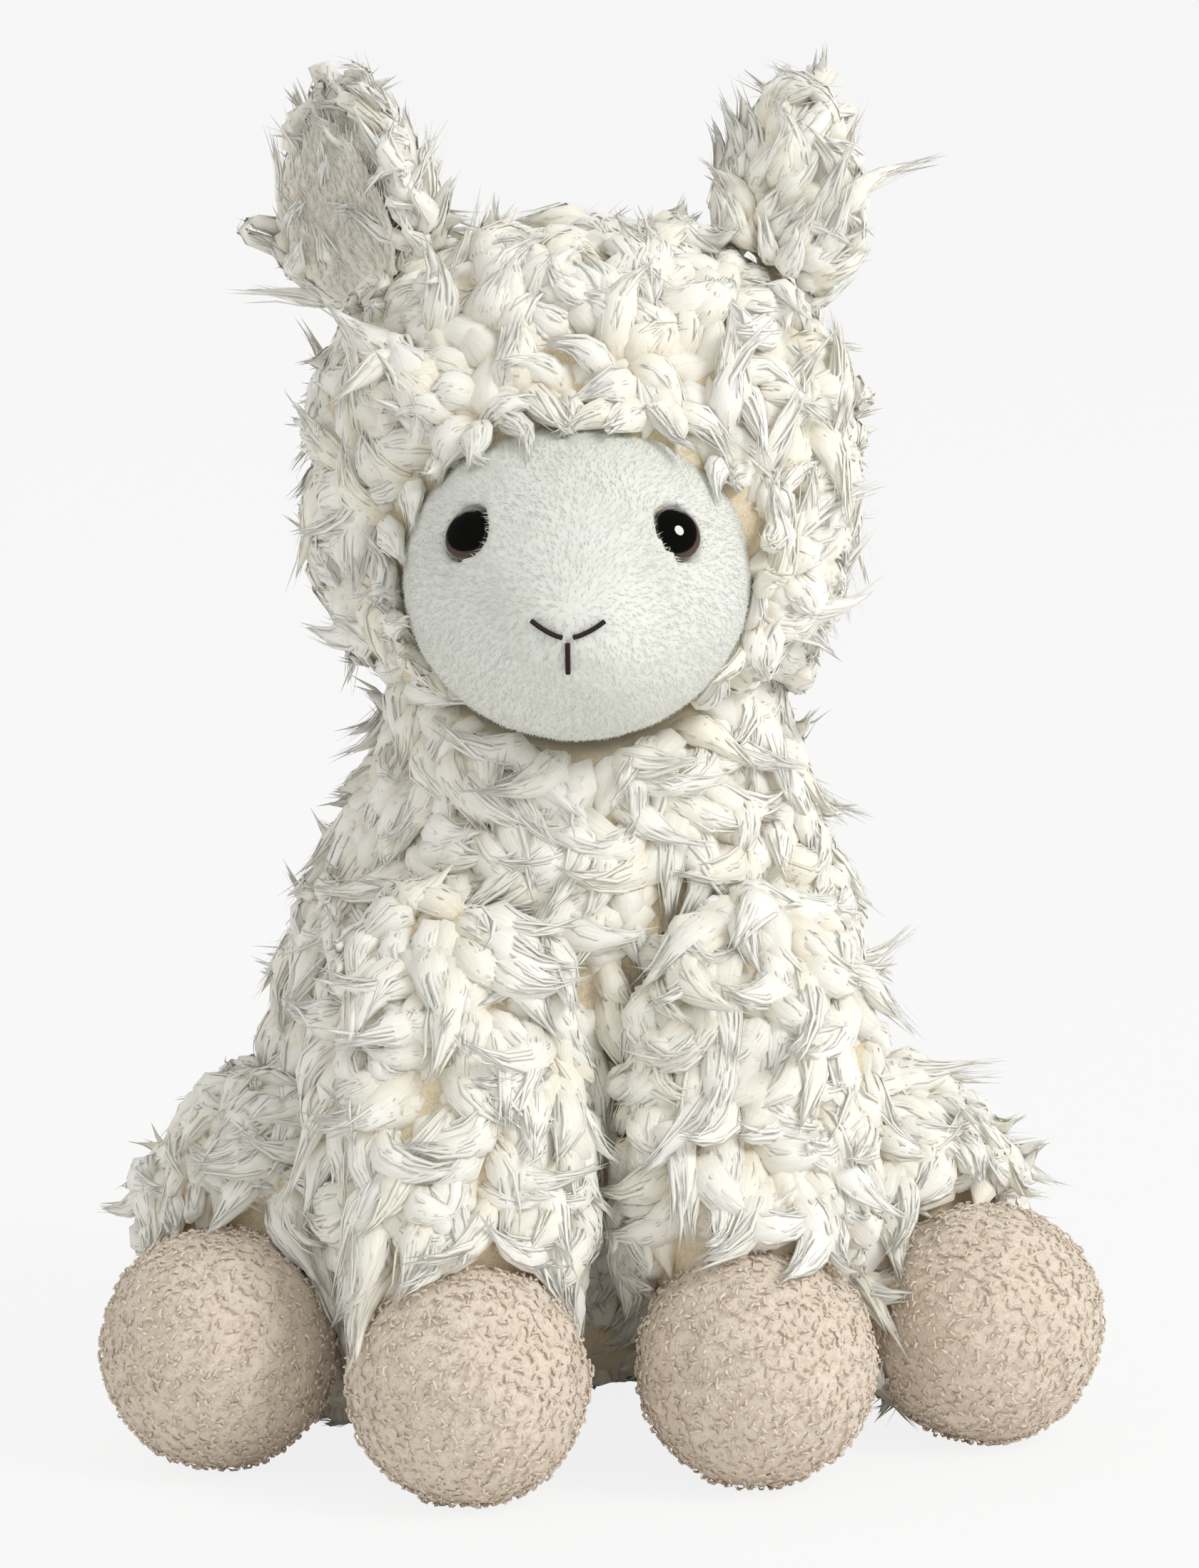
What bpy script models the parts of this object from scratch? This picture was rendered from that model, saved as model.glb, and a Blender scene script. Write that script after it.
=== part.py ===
"""Sitting plush llama: long curly plush, a short-pile face, black safety eyes and boucle feet.

Metres, +Z up. X runs across the toy, its front looks along -Y and it sits on Z = 0.
Left and right are those of someone who looks at its front. Each stuffed piece is one
solid of skin and filling, and its outer face is the mean surface of the fur.
"""

import math

import bmesh
import bpy
from mathutils import Matrix, Vector, noise
from mathutils.bvhtree import BVHTree

# Gap between two pieces that are sewn or pressed together
CLEARANCE = 0.0003
# How many clearances a sharp tip of a neighbour may need
SHARPEST = 4.0
# Points of one mesh that are nearer than this are one point
MERGE_WITHIN = 0.000001

# Torso: height, full width, full depth and forward offset of each section
TORSO_HEIGHT = 0.196
BASE_WIDTH = 0.132
BASE_DEPTH = 0.098
BASE_BACKSET = 0.026
BELLY_HEIGHT = 0.055
BELLY_WIDTH = 0.140
BELLY_DEPTH = 0.126
BELLY_BACKSET = 0.010
CHEST_HEIGHT = 0.105
CHEST_WIDTH = 0.128
CHEST_DEPTH = 0.106
CHEST_BACKSET = 0.004
NECK_HEIGHT = 0.150
NECK_WIDTH = 0.096
NECK_DEPTH = 0.088
NECK_LEAN = 0.0040

# Seat panel of short plush under the torso
SEAT_WIDTH = 0.092
SEAT_DEPTH = 0.092
SEAT_THICKNESS = 0.030
SEAT_BACKSET = 0.018
SEAT_TILT = math.radians(14)
SEAT_FLAT_DEPTH = 0.0016

# Head hood and the way that it is turned on the neck
HEAD_WIDTH = 0.119
HEAD_DEPTH = 0.100
HEAD_HEIGHT = 0.118
HEAD_OVER_NECK = 0.051
HEAD_BOTTOM = TORSO_HEIGHT - HEAD_OVER_NECK
HEAD_OFFSET = 0.0032
JAW_WIDTH = 0.112
CROWN_WIDTH = 0.106
HEAD_TURN = math.radians(-12)

# Face of short plush, in the head's own frame
FACE_WIDTH = 0.076
FACE_HEIGHT = 0.071
FACE_DEPTH = 0.094
FACE_FORWARD = 0.036
FACE_RISE = 0.045
FACE_CENTRE_HEIGHT = HEAD_BOTTOM + FACE_RISE
MUZZLE_WIDTH = 0.046
MUZZLE_HEIGHT = 0.040
MUZZLE_DEPTH = 0.046
MUZZLE_FORWARD = 0.065
MUZZLE_DROP = 0.005

# Safety eyes and the washers that lock them
EYE_DIAMETER = 0.012
EYE_DOME = 0.0038
EYE_RIM = 0.0012
EYE_SUNK = 0.0026
EYE_TURN = math.radians(-12)
EYE_SPACING = 0.0455
EYE_RISE = 0.0145
EYE_HEIGHT = FACE_CENTRE_HEIGHT + EYE_RISE
SHANK_DIAMETER = 0.0034
SHANK_LENGTH = 0.0110
WASHER_DIAMETER = 0.0110
WASHER_THICKNESS = 0.0014
WASHER_SETBACK = 0.0050

# Stitched nose and mouth
THREAD_DIAMETER = 0.0011
NOSE_STITCH_SPAN = 0.0076
NOSE_STITCH_RISE = 0.0034
NOSE_STITCH_BOW = 1.7
MOUTH_DROP = 0.0054
MOUTH_HEIGHT = FACE_CENTRE_HEIGHT - MOUTH_DROP
MOUTH_STITCH_LENGTH = 0.0066
STITCH_PARTING = 0.0011

# Ears
EAR_LENGTH = 0.034
EAR_WIDTH = 0.050
EAR_TIP_WIDTH = 0.030
EAR_THICKNESS = 0.018
EAR_CUP = 0.012
EAR_PLACE = {"left": -0.036, "right": 0.031}
EAR_SPLAY = math.radians(17)
EAR_LEAN = math.radians(-4)
EAR_ROOT_DEPTH = 0.028
EAR_TWIST = {"left": math.radians(-38), "right": math.radians(130)}
LINING_THICKNESS = 0.0030
LINING_MARGIN = 0.0080

# Front legs, from the shoulder down to the feet
FRONT_LEG_WIDTH = 0.062
FRONT_LEG_DEPTH = 0.056
FRONT_HEM_HEIGHT = 0.031
SHOULDER_HEIGHT = 0.122
SHOULDER_SPREAD = 0.030
SHOULDER_FORWARD = 0.034

# Rear legs, from the hip out to the feet
REAR_LEG_WIDTH = 0.080
REAR_LEG_DEPTH = 0.078
REAR_LEG_OVERLAP = 0.013
HIP_HEIGHT = 0.056
HIP_SPREAD = 0.034
HIP_BACKSET = 0.022

# Feet: the balls' full width and height, and where each one stands
FOOT_WIDTH = 0.0515
FOOT_HEIGHT = 0.0525
FOOT_FLAT = 0.0006
FRONT_FOOT_LEFT = (-0.0352, -0.0780)
FRONT_FOOT_RIGHT = (0.0275, -0.0742)
REAR_FOOT_LEFT = (-0.0830, -0.0400)
REAR_FOOT_RIGHT = (0.0835, -0.0478)

# Tail
TAIL_LENGTH = 0.046
TAIL_WIDTH = 0.036
TAIL_HEIGHT = 0.052

# Relief of the fur: one lock's width and length, and how far it stands proud
LOCK_WIDTH = 0.015
LOCK_LENGTH = 0.022
LOCK_RELIEF = 0.0060
EAR_LOCK_RELIEF = 0.0030
CURL_WIDTH = 0.0060
CURL_RELIEF = 0.0009

# Facets of the turned pieces, and triangles that each stuffed piece is thinned to
EYE_SIDES = 16
DOME_STEPS = 4
WASHER_SIDES = 12
TORSO_TRIANGLES = 1620
HEAD_TRIANGLES = 1260
LEG_TRIANGLES = 400
FOOT_TRIANGLES = 262
FACE_TRIANGLES = 500
EAR_TRIANGLES = 250
LINING_TRIANGLES = 70
TAIL_TRIANGLES = 160
SEAT_TRIANGLES = 150

SIDES = {"left": -1, "right": 1}
FRONT = Vector((0, -1, 0))
UP = Vector((0, 0, 1))


def clear_scene():
    for obj in list(bpy.data.objects):
        bpy.data.objects.remove(obj, do_unlink=True)


def material(name, colour, roughness):
    """A Principled material of one colour."""
    made = bpy.data.materials.new(name)
    made.use_nodes = True
    shader = made.node_tree.nodes["Principled BSDF"]
    shader.inputs["Base Color"].default_value = (*colour, 1)
    shader.inputs["Roughness"].default_value = roughness
    shader.inputs["Metallic"].default_value = 0.0
    return made


def add_object(name, mesh, finish):
    mesh.name = name
    obj = bpy.data.objects.new(name, mesh)
    bpy.context.scene.collection.objects.link(obj)
    mesh.materials.clear()
    mesh.materials.append(finish)
    return obj


def evaluated_mesh(obj):
    """A new mesh of the object with its modifiers applied."""
    graph = bpy.context.evaluated_depsgraph_get()
    return bpy.data.meshes.new_from_object(obj.evaluated_get(graph), depsgraph=graph)


def bmesh_of(obj):
    bm = bmesh.new()
    bm.from_mesh(obj.data)
    return bm


def write_back(bm, obj):
    bm.to_mesh(obj.data)
    bm.free()
    obj.data.update()


def between(stations, t):
    """Smooth values at t along stations of (t, values), which rise in t."""
    last = len(stations) - 2
    i = max(0, min(last, sum(s[0] <= t for s in stations) - 1))
    before, after = stations[max(i - 1, 0)], stations[min(i + 2, last + 1)]
    low, high = stations[i], stations[i + 1]
    span = high[0] - low[0]
    u = (t - low[0]) / span
    slope_low = (Vector(high[1]) - Vector(before[1])) / (high[0] - before[0]) * span
    slope_high = (Vector(after[1]) - Vector(low[1])) / (after[0] - low[0]) * span
    return (
        (2 * u**3 - 3 * u**2 + 1) * Vector(low[1])
        + (u**3 - 2 * u**2 + u) * slope_low
        + (3 * u**2 - 2 * u**3) * Vector(high[1])
        + (u**3 - u**2) * slope_high
    )


def stuffed_form(name, finish, height, stations, squareness, fineness=5):
    """A closed form along Z from 0 to height. Each station gives, at a share of the height, its
    half width, half depth and the X and Y of its middle. Squareness 2 makes ends round as a ball's."""
    bm = bmesh.new()
    bmesh.ops.create_icosphere(bm, subdivisions=fineness, radius=1)
    for vert in bm.verts:
        x, y, z = vert.co
        ring = math.hypot(x, y)
        full = (ring**squareness + abs(z) ** squareness) ** (-1 / squareness)
        t = (z * full + 1) / 2
        half_width, half_depth, middle_x, middle_y = between(stations, t)
        vert.co = (middle_x + x * full * half_width, middle_y + y * full * half_depth, t * height)
    mesh = bpy.data.meshes.new(name)
    bm.to_mesh(mesh)
    bm.free()
    return add_object(name, mesh, finish)


def transform(obj, matrix):
    obj.data.transform(matrix)
    obj.data.update()


def displace(obj, height_at):
    """Moves each point along its normal by height_at(point, normal)."""
    bm = bmesh_of(obj)
    bm.normal_update()
    moves = [vert.normal * height_at(vert.co, vert.normal) for vert in bm.verts]
    for vert, move in zip(bm.verts, moves, strict=True):
        vert.co += move
    write_back(bm, obj)


def lock_height(point, relief):
    """Relief of locks that hang down: proud at a lock's lower end, low at its root and edges."""
    place = Vector((point.x / LOCK_WIDTH, point.y / LOCK_WIDTH, point.z / LOCK_LENGTH))
    distances, centres = noise.voronoi(place)
    inside = min(1.0, 1.6 * (distances[1] - distances[0]))
    rounded = inside * inside * (3 - 2 * inside)
    hang = max(-0.5, min(0.5, centres[0].z - place.z))
    return relief * (rounded * (0.75 + 0.8 * hang) - 0.35)


def add_fur(obj, relief=LOCK_RELIEF):
    displace(obj, lambda point, normal: lock_height(point, relief))
    bm = bmesh_of(obj)
    bmesh.ops.smooth_vert(
        bm, verts=bm.verts, factor=0.5, use_axis_x=True, use_axis_y=True, use_axis_z=True
    )
    write_back(bm, obj)


def add_curls(obj):
    """The low pebbled relief of boucle."""
    displace(obj, lambda point, normal: CURL_RELIEF * noise.noise(point / CURL_WIDTH))


def thin_out(obj, triangles):
    """Fewer faces with the same shape."""
    obj.data.calc_loop_triangles()
    fewer = obj.modifiers.new("Fewer faces", "DECIMATE")
    fewer.ratio = min(1.0, triangles / len(obj.data.loop_triangles))
    fewer.use_collapse_triangulate = True
    replace_mesh(obj, evaluated_mesh(obj))


def replace_mesh(obj, mesh):
    obj.modifiers.clear()
    old = obj.data
    obj.data = mesh
    bpy.data.meshes.remove(old)
    mesh.name = obj.name


def flatten_below(obj, height):
    """A flat face at this height, where the piece rests on the floor."""
    bm = bmesh_of(obj)
    cut = bmesh.ops.bisect_plane(
        bm,
        geom=[*bm.verts, *bm.edges, *bm.faces],
        plane_co=(0, 0, height),
        plane_no=UP,
        clear_inner=True,
    )
    rim = [item for item in cut["geom_cut"] if isinstance(item, bmesh.types.BMEdge)]
    bmesh.ops.holes_fill(bm, edges=rim, sides=0)
    bmesh.ops.triangulate(bm, faces=bm.faces)
    bmesh.ops.recalc_face_normals(bm, faces=bm.faces)
    write_back(bm, obj)


def cutters_from(obj):
    """The piece as a cutter, grown by the clearance all round, and the same one as it is, for
    folds so tight that growing turns them over."""
    made = []
    for label, clearance in (("_grown", CLEARANCE), ("_form", 0.0)):
        cutter = add_object(obj.name + label, obj.data.copy(), obj.data.materials[0])
        cutter.hide_render = True
        cutter.display_type = "WIRE"
        bm = bmesh_of(cutter)
        bm.normal_update()
        factors = [min(SHARPEST, vert.calc_shell_factor()) for vert in bm.verts]
        moves = [vert.normal * clearance * f for vert, f in zip(bm.verts, factors, strict=True)]
        for vert, move in zip(bm.verts, moves, strict=True):
            vert.co += move
        write_back(bm, cutter)
        made.append(cutter)
    return made


def keep_largest(obj):
    """Removes scraps that a cut leaves apart from the piece."""
    bm = bmesh_of(obj)
    left, islands = set(bm.verts), []
    while left:
        island, todo = set(), [left.pop()]
        while todo:
            vert = todo.pop()
            island.add(vert)
            near = {edge.other_vert(vert) for edge in vert.link_edges} & left
            left -= near
            todo.extend(near)
        islands.append(island)
    islands.sort(key=len)
    for scrap in islands[:-1]:
        bmesh.ops.delete(bm, geom=list(scrap), context="VERTS")
    write_back(bm, obj)


def seat_against(obj, cutters):
    """Cuts the piece back to its neighbours, so that it meets them with the clearance."""
    for cutter in cutters:
        cut = obj.modifiers.new("Seat on " + cutter.name, "BOOLEAN")
        cut.operation = "DIFFERENCE"
        cut.object = cutter
    replace_mesh(obj, evaluated_mesh(obj))
    keep_largest(obj)


def aim(start, end, twist_axis=FRONT):
    """The frame at start whose Z points to end, and whose Y stays near the twist axis' back."""
    along = (Vector(end) - Vector(start)).normalized()
    across = twist_axis.cross(along).normalized()
    ahead = along.cross(across)
    frame = Matrix((across, ahead, along)).transposed().to_4x4()
    frame.translation = start
    return frame


def head_frame():
    return Matrix.Translation((HEAD_OFFSET, 0, 0)) @ Matrix.Rotation(HEAD_TURN, 4, "Z")


def make_torso(finish):
    sections = (
        (0.0, BASE_WIDTH, BASE_DEPTH, 0.0, BASE_BACKSET),
        (BELLY_HEIGHT, BELLY_WIDTH, BELLY_DEPTH, 0.0, BELLY_BACKSET),
        (CHEST_HEIGHT, CHEST_WIDTH, CHEST_DEPTH, NECK_LEAN / 2, CHEST_BACKSET),
        (NECK_HEIGHT, NECK_WIDTH, NECK_DEPTH, NECK_LEAN, 0.0),
        (TORSO_HEIGHT, NECK_WIDTH, NECK_DEPTH, NECK_LEAN, 0.0),
    )
    stations = [
        (height / TORSO_HEIGHT, (width / 2, depth / 2, lean, backset))
        for height, width, depth, lean, backset in sections
    ]
    torso = stuffed_form("torso", finish, TORSO_HEIGHT, stations, 3.0, 6)
    add_fur(torso)
    thin_out(torso, TORSO_TRIANGLES)
    flatten_below(torso, CLEARANCE)
    return torso


def make_seat(finish):
    """A thin pad, tilted up to the front, with a flat where the toy rests."""
    half = (SEAT_WIDTH / 2, SEAT_DEPTH / 2, 0, 0)
    seat = stuffed_form("seat_panel", finish, SEAT_THICKNESS, ((0.0, half), (1.0, half)), 2.2, 5)
    thin_out(seat, SEAT_TRIANGLES)
    transform(seat, Matrix.Rotation(-SEAT_TILT, 4, "X"))
    lowest = min(vert.co.z for vert in seat.data.vertices)
    transform(seat, Matrix.Translation((0, SEAT_BACKSET, -lowest - SEAT_FLAT_DEPTH)))
    flatten_below(seat, 0)
    return seat


def make_head(finish):
    half_depth = HEAD_DEPTH / 2
    stations = (
        (0.0, (JAW_WIDTH / 2, 0.9 * half_depth, 0, 0)),
        (0.45, (HEAD_WIDTH / 2, half_depth, 0, 0)),
        (0.75, (HEAD_WIDTH / 2, half_depth, 0, 0)),
        (1.0, (CROWN_WIDTH / 2, 0.9 * half_depth, 0, 0)),
    )
    head = stuffed_form("head", finish, HEAD_HEIGHT, stations, 2.6, 6)
    transform(head, head_frame() @ Matrix.Translation((0, 0, HEAD_BOTTOM)))
    add_fur(head)
    thin_out(head, HEAD_TRIANGLES)
    return head


def ball(name, finish, size, centre):
    """An ellipsoid of this full size."""
    half = (size[0] / 2, size[1] / 2, 0, 0)
    made = stuffed_form(name, finish, size[2], ((0.0, half), (1.0, half)), 2.0)
    transform(made, Matrix.Translation(Vector(centre) - UP * size[2] / 2))
    return made


def make_face(finish):
    """An egg with a muzzle, joined and rounded over."""
    face = ball(
        "face",
        finish,
        (FACE_WIDTH, FACE_DEPTH, FACE_HEIGHT),
        (0, -FACE_FORWARD, FACE_CENTRE_HEIGHT),
    )
    muzzle = ball(
        "muzzle_form",
        finish,
        (MUZZLE_WIDTH, MUZZLE_DEPTH, MUZZLE_HEIGHT),
        (0, -MUZZLE_FORWARD, FACE_CENTRE_HEIGHT - MUZZLE_DROP),
    )
    muzzle.hide_render = True
    muzzle.display_type = "WIRE"
    join = face.modifiers.new("Muzzle", "BOOLEAN")
    join.operation = "UNION"
    join.object = muzzle
    even = face.modifiers.new("Even skin", "REMESH")
    even.mode = "VOXEL"
    even.voxel_size = 0.002
    round_over = face.modifiers.new("Round over", "SMOOTH")
    round_over.factor = 0.5
    round_over.iterations = 24
    replace_mesh(face, evaluated_mesh(face))
    bpy.data.objects.remove(muzzle)
    transform(face, head_frame())
    thin_out(face, FACE_TRIANGLES)
    return face


def surface_point(tree, across, height):
    """The place and normal on the face, seen along the head's own front at this offset."""
    frame = head_frame()
    start = frame @ Vector((across, -1.0, height))
    direction = frame.to_3x3() @ -FRONT
    place, normal, _, _ = tree.ray_cast(start, direction)
    return place, normal


def turned(name, finish, profile, sides, frame):
    """A profile of (radius, height) points turned about Z, then placed."""
    bm = bmesh.new()
    verts = [bm.verts.new((radius, 0, height)) for radius, height in profile]
    edges = [bm.edges.new(pair) for pair in zip(verts, verts[1:])]
    if profile[0][0] > 0:
        edges.append(bm.edges.new((verts[-1], verts[0])))
    bmesh.ops.spin(
        bm,
        geom=[*verts, *edges],
        axis=UP,
        cent=(0, 0, 0),
        angle=2 * math.pi,
        steps=sides,
        use_merge=True,
    )
    bmesh.ops.remove_doubles(bm, verts=bm.verts, dist=MERGE_WITHIN)
    bmesh.ops.recalc_face_normals(bm, faces=bm.faces)
    bmesh.ops.transform(bm, matrix=frame, verts=bm.verts)
    mesh = bpy.data.meshes.new(name)
    bm.to_mesh(mesh)
    bm.free()
    mesh.shade_smooth()
    return add_object(name, mesh, finish)


def make_eyes(tree, black, nylon):
    """Domed eyes with their shanks, and the washers pushed onto them from inside."""
    made = []
    radius, shank = EYE_DIAMETER / 2, SHANK_DIAMETER / 2
    dome = [
        (radius * math.cos(a), EYE_DOME * math.sin(a))
        for a in (math.pi / 2 * (1 - i / DOME_STEPS) for i in range(DOME_STEPS + 1))
    ]
    dome[0] = (0, EYE_DOME)
    stem = [(radius, -EYE_RIM), (shank, -EYE_RIM), (shank, -SHANK_LENGTH), (0, -SHANK_LENGTH)]
    bore, outer = shank + CLEARANCE, WASHER_DIAMETER / 2
    inner_face = -WASHER_SETBACK
    outer_face = inner_face - WASHER_THICKNESS
    washer = [(bore, inner_face), (outer, inner_face), (outer, outer_face), (bore, outer_face)]
    for side, sign in SIDES.items():
        place, normal = surface_point(tree, sign * EYE_SPACING / 2, EYE_HEIGHT)
        outward = Matrix.Rotation(sign * EYE_TURN, 3, "Z") @ normal
        frame = aim(place - outward * EYE_SUNK, place)
        made.append(turned("eye_" + side, black, dome + stem, EYE_SIDES, frame))
        made.append(turned("eye_washer_" + side, nylon, washer, WASHER_SIDES, frame))
    return made


def make_stitches(tree, thread):
    """Three stitches that lie half sunk in the face: a bow under the nose and one line down."""
    span, rise, part = NOSE_STITCH_SPAN, NOSE_STITCH_RISE, STITCH_PARTING
    steps = 6
    spread = [part + (span - part) * i / steps for i in range(steps + 1)]
    bow = [rise * (across / span) ** NOSE_STITCH_BOW for across in spread]
    routes = {
        "nose_stitch_left": [(-across, height) for across, height in zip(spread, bow)],
        "nose_stitch_right": list(zip(spread, bow)),
        "mouth_stitch": [(0, -part - MOUTH_STITCH_LENGTH * i / steps) for i in range(steps + 1)],
    }
    made = []
    for name, route in routes.items():
        curve = bpy.data.curves.new(name, "CURVE")
        curve.dimensions = "3D"
        curve.bevel_depth = THREAD_DIAMETER / 2
        curve.bevel_resolution = 1
        curve.use_fill_caps = True
        spline = curve.splines.new("POLY")
        spline.points.add(steps)
        for point, (across, height) in zip(spline.points, route):
            place, _ = surface_point(tree, across, MOUTH_HEIGHT + height)
            point.co = (*place, 1)
        guide = bpy.data.objects.new(name + "_guide", curve)
        bpy.context.scene.collection.objects.link(guide)
        stitch = add_object(name, evaluated_mesh(guide), thread)
        bpy.data.objects.remove(guide)
        bm = bmesh_of(stitch)
        bmesh.ops.remove_doubles(bm, verts=bm.verts, dist=MERGE_WITHIN)
        bmesh.ops.recalc_face_normals(bm, faces=bm.faces)
        write_back(bm, stitch)
        made.append(stitch)
    return made


def ear_frame(side):
    """The root of an ear in the hood, with Z up its length and -Y out of its cup."""
    sign = SIDES[side]
    root = Vector((EAR_PLACE[side], 0, HEAD_BOTTOM + HEAD_HEIGHT - EAR_ROOT_DEPTH))
    turn = Matrix.Rotation(sign * EAR_SPLAY, 4, "Y") @ Matrix.Rotation(EAR_LEAN, 4, "X")
    twist = Matrix.Rotation(EAR_TWIST[side], 4, "Z")
    return head_frame() @ Matrix.Translation(root) @ turn @ twist


def leaf(name, finish, width, tip_width, length, thickness, triangles):
    """A leaf-shaped pad along Z, cupped towards -Y."""
    deep = thickness / 2
    stations = (
        (0.0, (0.3 * width, deep, 0, 0)),
        (0.45, (width / 2, deep, 0, 0)),
        (1.0, (tip_width / 2, deep, 0, 0)),
    )
    pad = stuffed_form(name, finish, length, stations, 2.4)
    bm = bmesh_of(pad)
    for vert in bm.verts:
        vert.co.y -= EAR_CUP * (vert.co.x / (EAR_WIDTH / 2)) ** 2
    write_back(bm, pad)
    thin_out(pad, triangles)
    return pad


def make_ears(plush, lining_plush):
    ears, linings = [], []
    length = EAR_LENGTH + EAR_ROOT_DEPTH
    for side in SIDES:
        frame = ear_frame(side)
        ear = leaf(
            "ear_" + side,
            plush,
            EAR_WIDTH,
            EAR_TIP_WIDTH,
            length,
            EAR_THICKNESS,
            4 * EAR_TRIANGLES,
        )
        transform(ear, frame)
        add_fur(ear, EAR_LOCK_RELIEF)
        thin_out(ear, EAR_TRIANGLES)
        ears.append(ear)
        lining = leaf(
            "ear_lining_" + side,
            lining_plush,
            EAR_WIDTH - 2 * LINING_MARGIN,
            EAR_TIP_WIDTH - 2 * LINING_MARGIN,
            length - 2 * LINING_MARGIN,
            LINING_THICKNESS,
            LINING_TRIANGLES,
        )
        transform(lining, frame @ Matrix.Translation((0, -EAR_THICKNESS / 2, LINING_MARGIN)))
        linings.append(lining)
    return ears, linings


def make_leg(name, finish, start, end, width, depth):
    """A stuffed limb whose axis runs from start to end, with full round ends."""
    length = (Vector(end) - Vector(start)).length
    half = (width / 2, depth / 2, 0, 0)
    leg = stuffed_form(name, finish, length, ((0.0, half), (1.0, half)), 3.2)
    transform(leg, aim(start, end))
    add_fur(leg)
    thin_out(leg, LEG_TRIANGLES)
    return leg


def make_foot(name, finish, place):
    centre = Vector((place[0], place[1], FOOT_HEIGHT / 2 - FOOT_FLAT))
    foot = ball(name, finish, (FOOT_WIDTH, FOOT_WIDTH, FOOT_HEIGHT), centre)
    add_curls(foot)
    thin_out(foot, FOOT_TRIANGLES)
    flatten_below(foot, 0)
    return foot


def make_front_limbs(plush, boucle):
    legs, feet = [], []
    for side, place in {"left": FRONT_FOOT_LEFT, "right": FRONT_FOOT_RIGHT}.items():
        sign = SIDES[side]
        feet.append(make_foot("front_foot_" + side, boucle, place))
        start = (sign * SHOULDER_SPREAD, -SHOULDER_FORWARD, SHOULDER_HEIGHT)
        end = (place[0], place[1] + FOOT_WIDTH / 4, FRONT_HEM_HEIGHT)
        name = "front_leg_" + side
        legs.append(make_leg(name, plush, start, end, FRONT_LEG_WIDTH, FRONT_LEG_DEPTH))
    return legs, feet


def make_rear_limbs(plush, boucle):
    legs, feet = [], []
    for side, place in {"left": REAR_FOOT_LEFT, "right": REAR_FOOT_RIGHT}.items():
        sign = SIDES[side]
        feet.append(make_foot("rear_foot_" + side, boucle, place))
        start = Vector((sign * HIP_SPREAD, HIP_BACKSET, HIP_HEIGHT))
        middle = Vector((place[0], place[1], FOOT_HEIGHT / 2))
        end = middle + (start - middle).normalized() * (FOOT_WIDTH / 2 - REAR_LEG_OVERLAP)
        name = "rear_leg_" + side
        legs.append(make_leg(name, plush, start, end, REAR_LEG_WIDTH, REAR_LEG_DEPTH))
    return legs, feet


def make_tail(finish):
    half = (TAIL_WIDTH / 2, TAIL_WIDTH / 2, 0, 0)
    tail = stuffed_form("tail", finish, TAIL_LENGTH, ((0.0, half), (1.0, half)), 2.2)
    back = BELLY_BACKSET + BELLY_DEPTH / 2
    start = Vector((0, back - TAIL_WIDTH / 3, TAIL_HEIGHT))
    transform(tail, aim(start, start + Vector((0, TAIL_LENGTH / 3, -TAIL_LENGTH))))
    add_fur(tail)
    thin_out(tail, TAIL_TRIANGLES)
    return tail


def centre_on_floor(pieces):
    """Moves all the pieces so that the middle of their box's floor side is the origin."""
    corners = [vert.co for piece in pieces for vert in piece.data.vertices]
    low = Vector([min(corner[axis] for corner in corners) for axis in range(3)])
    high = Vector([max(corner[axis] for corner in corners) for axis in range(3)])
    middle = (low + high) / 2
    for piece in pieces:
        transform(piece, Matrix.Translation((-middle.x, -middle.y, -low.z)))


def main():
    clear_scene()
    plush = material("Long curly plush", (0.84, 0.80, 0.72), 0.95)
    pile = material("Short white plush", (0.86, 0.85, 0.82), 0.92)
    lining_plush = material("Ear lining plush", (0.80, 0.72, 0.64), 0.92)
    boucle = material("Beige boucle", (0.66, 0.53, 0.41), 0.95)
    seat_plush = material("Seat plush", (0.58, 0.56, 0.50), 0.92)
    black = material("Black gloss plastic", (0.01, 0.009, 0.008), 0.08)
    nylon = material("White nylon", (0.80, 0.80, 0.78), 0.45)
    thread = material("Brown thread", (0.10, 0.06, 0.045), 0.80)

    torso = make_torso(plush)
    head = make_head(plush)
    face = make_face(pile)
    seat = make_seat(seat_plush)
    bm = bmesh_of(face)
    tree = BVHTree.FromBMesh(bm)
    bm.free()
    eyes = make_eyes(tree, black, nylon)
    stitches = make_stitches(tree, thread)
    ears, linings = make_ears(plush, lining_plush)
    front_legs, front_feet = make_front_limbs(plush, boucle)
    rear_legs, rear_feet = make_rear_limbs(plush, boucle)
    tail = make_tail(plush)

    feet = front_feet + rear_feet
    limbs = front_legs + rear_legs
    whole = [torso, head, face, seat, *eyes, *stitches, *linings, *feet, *limbs]
    cutters = {obj.name: cutters_from(obj) for obj in whole}

    def seats_on(obj, carriers):
        for nth in range(2):
            seat_against(obj, [cutters[carrier.name][nth] for carrier in carriers])

    seats_on(face, eyes + stitches)
    seats_on(torso, [seat, face, *feet])
    seats_on(head, [face, torso])
    for ear in ears:
        seats_on(ear, [*linings, head, face])
    for lining in linings:
        seats_on(lining, [head])
    for i, leg in enumerate(limbs):
        seats_on(leg, [torso, seat, face, *feet, *limbs[:i]])
        flatten_below(leg, CLEARANCE)
    seats_on(tail, [torso, seat, *rear_legs])
    for pair in cutters.values():
        for cutter in pair:
            bpy.data.objects.remove(cutter)
    centre_on_floor([*whole, *ears, tail])


main()
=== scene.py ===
"""Plush llama: curly plush, a short-pile face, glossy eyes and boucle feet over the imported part.

Metres, +Z up; the front looks along -Y. Left and right are those of someone who looks at it.
"""

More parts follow.
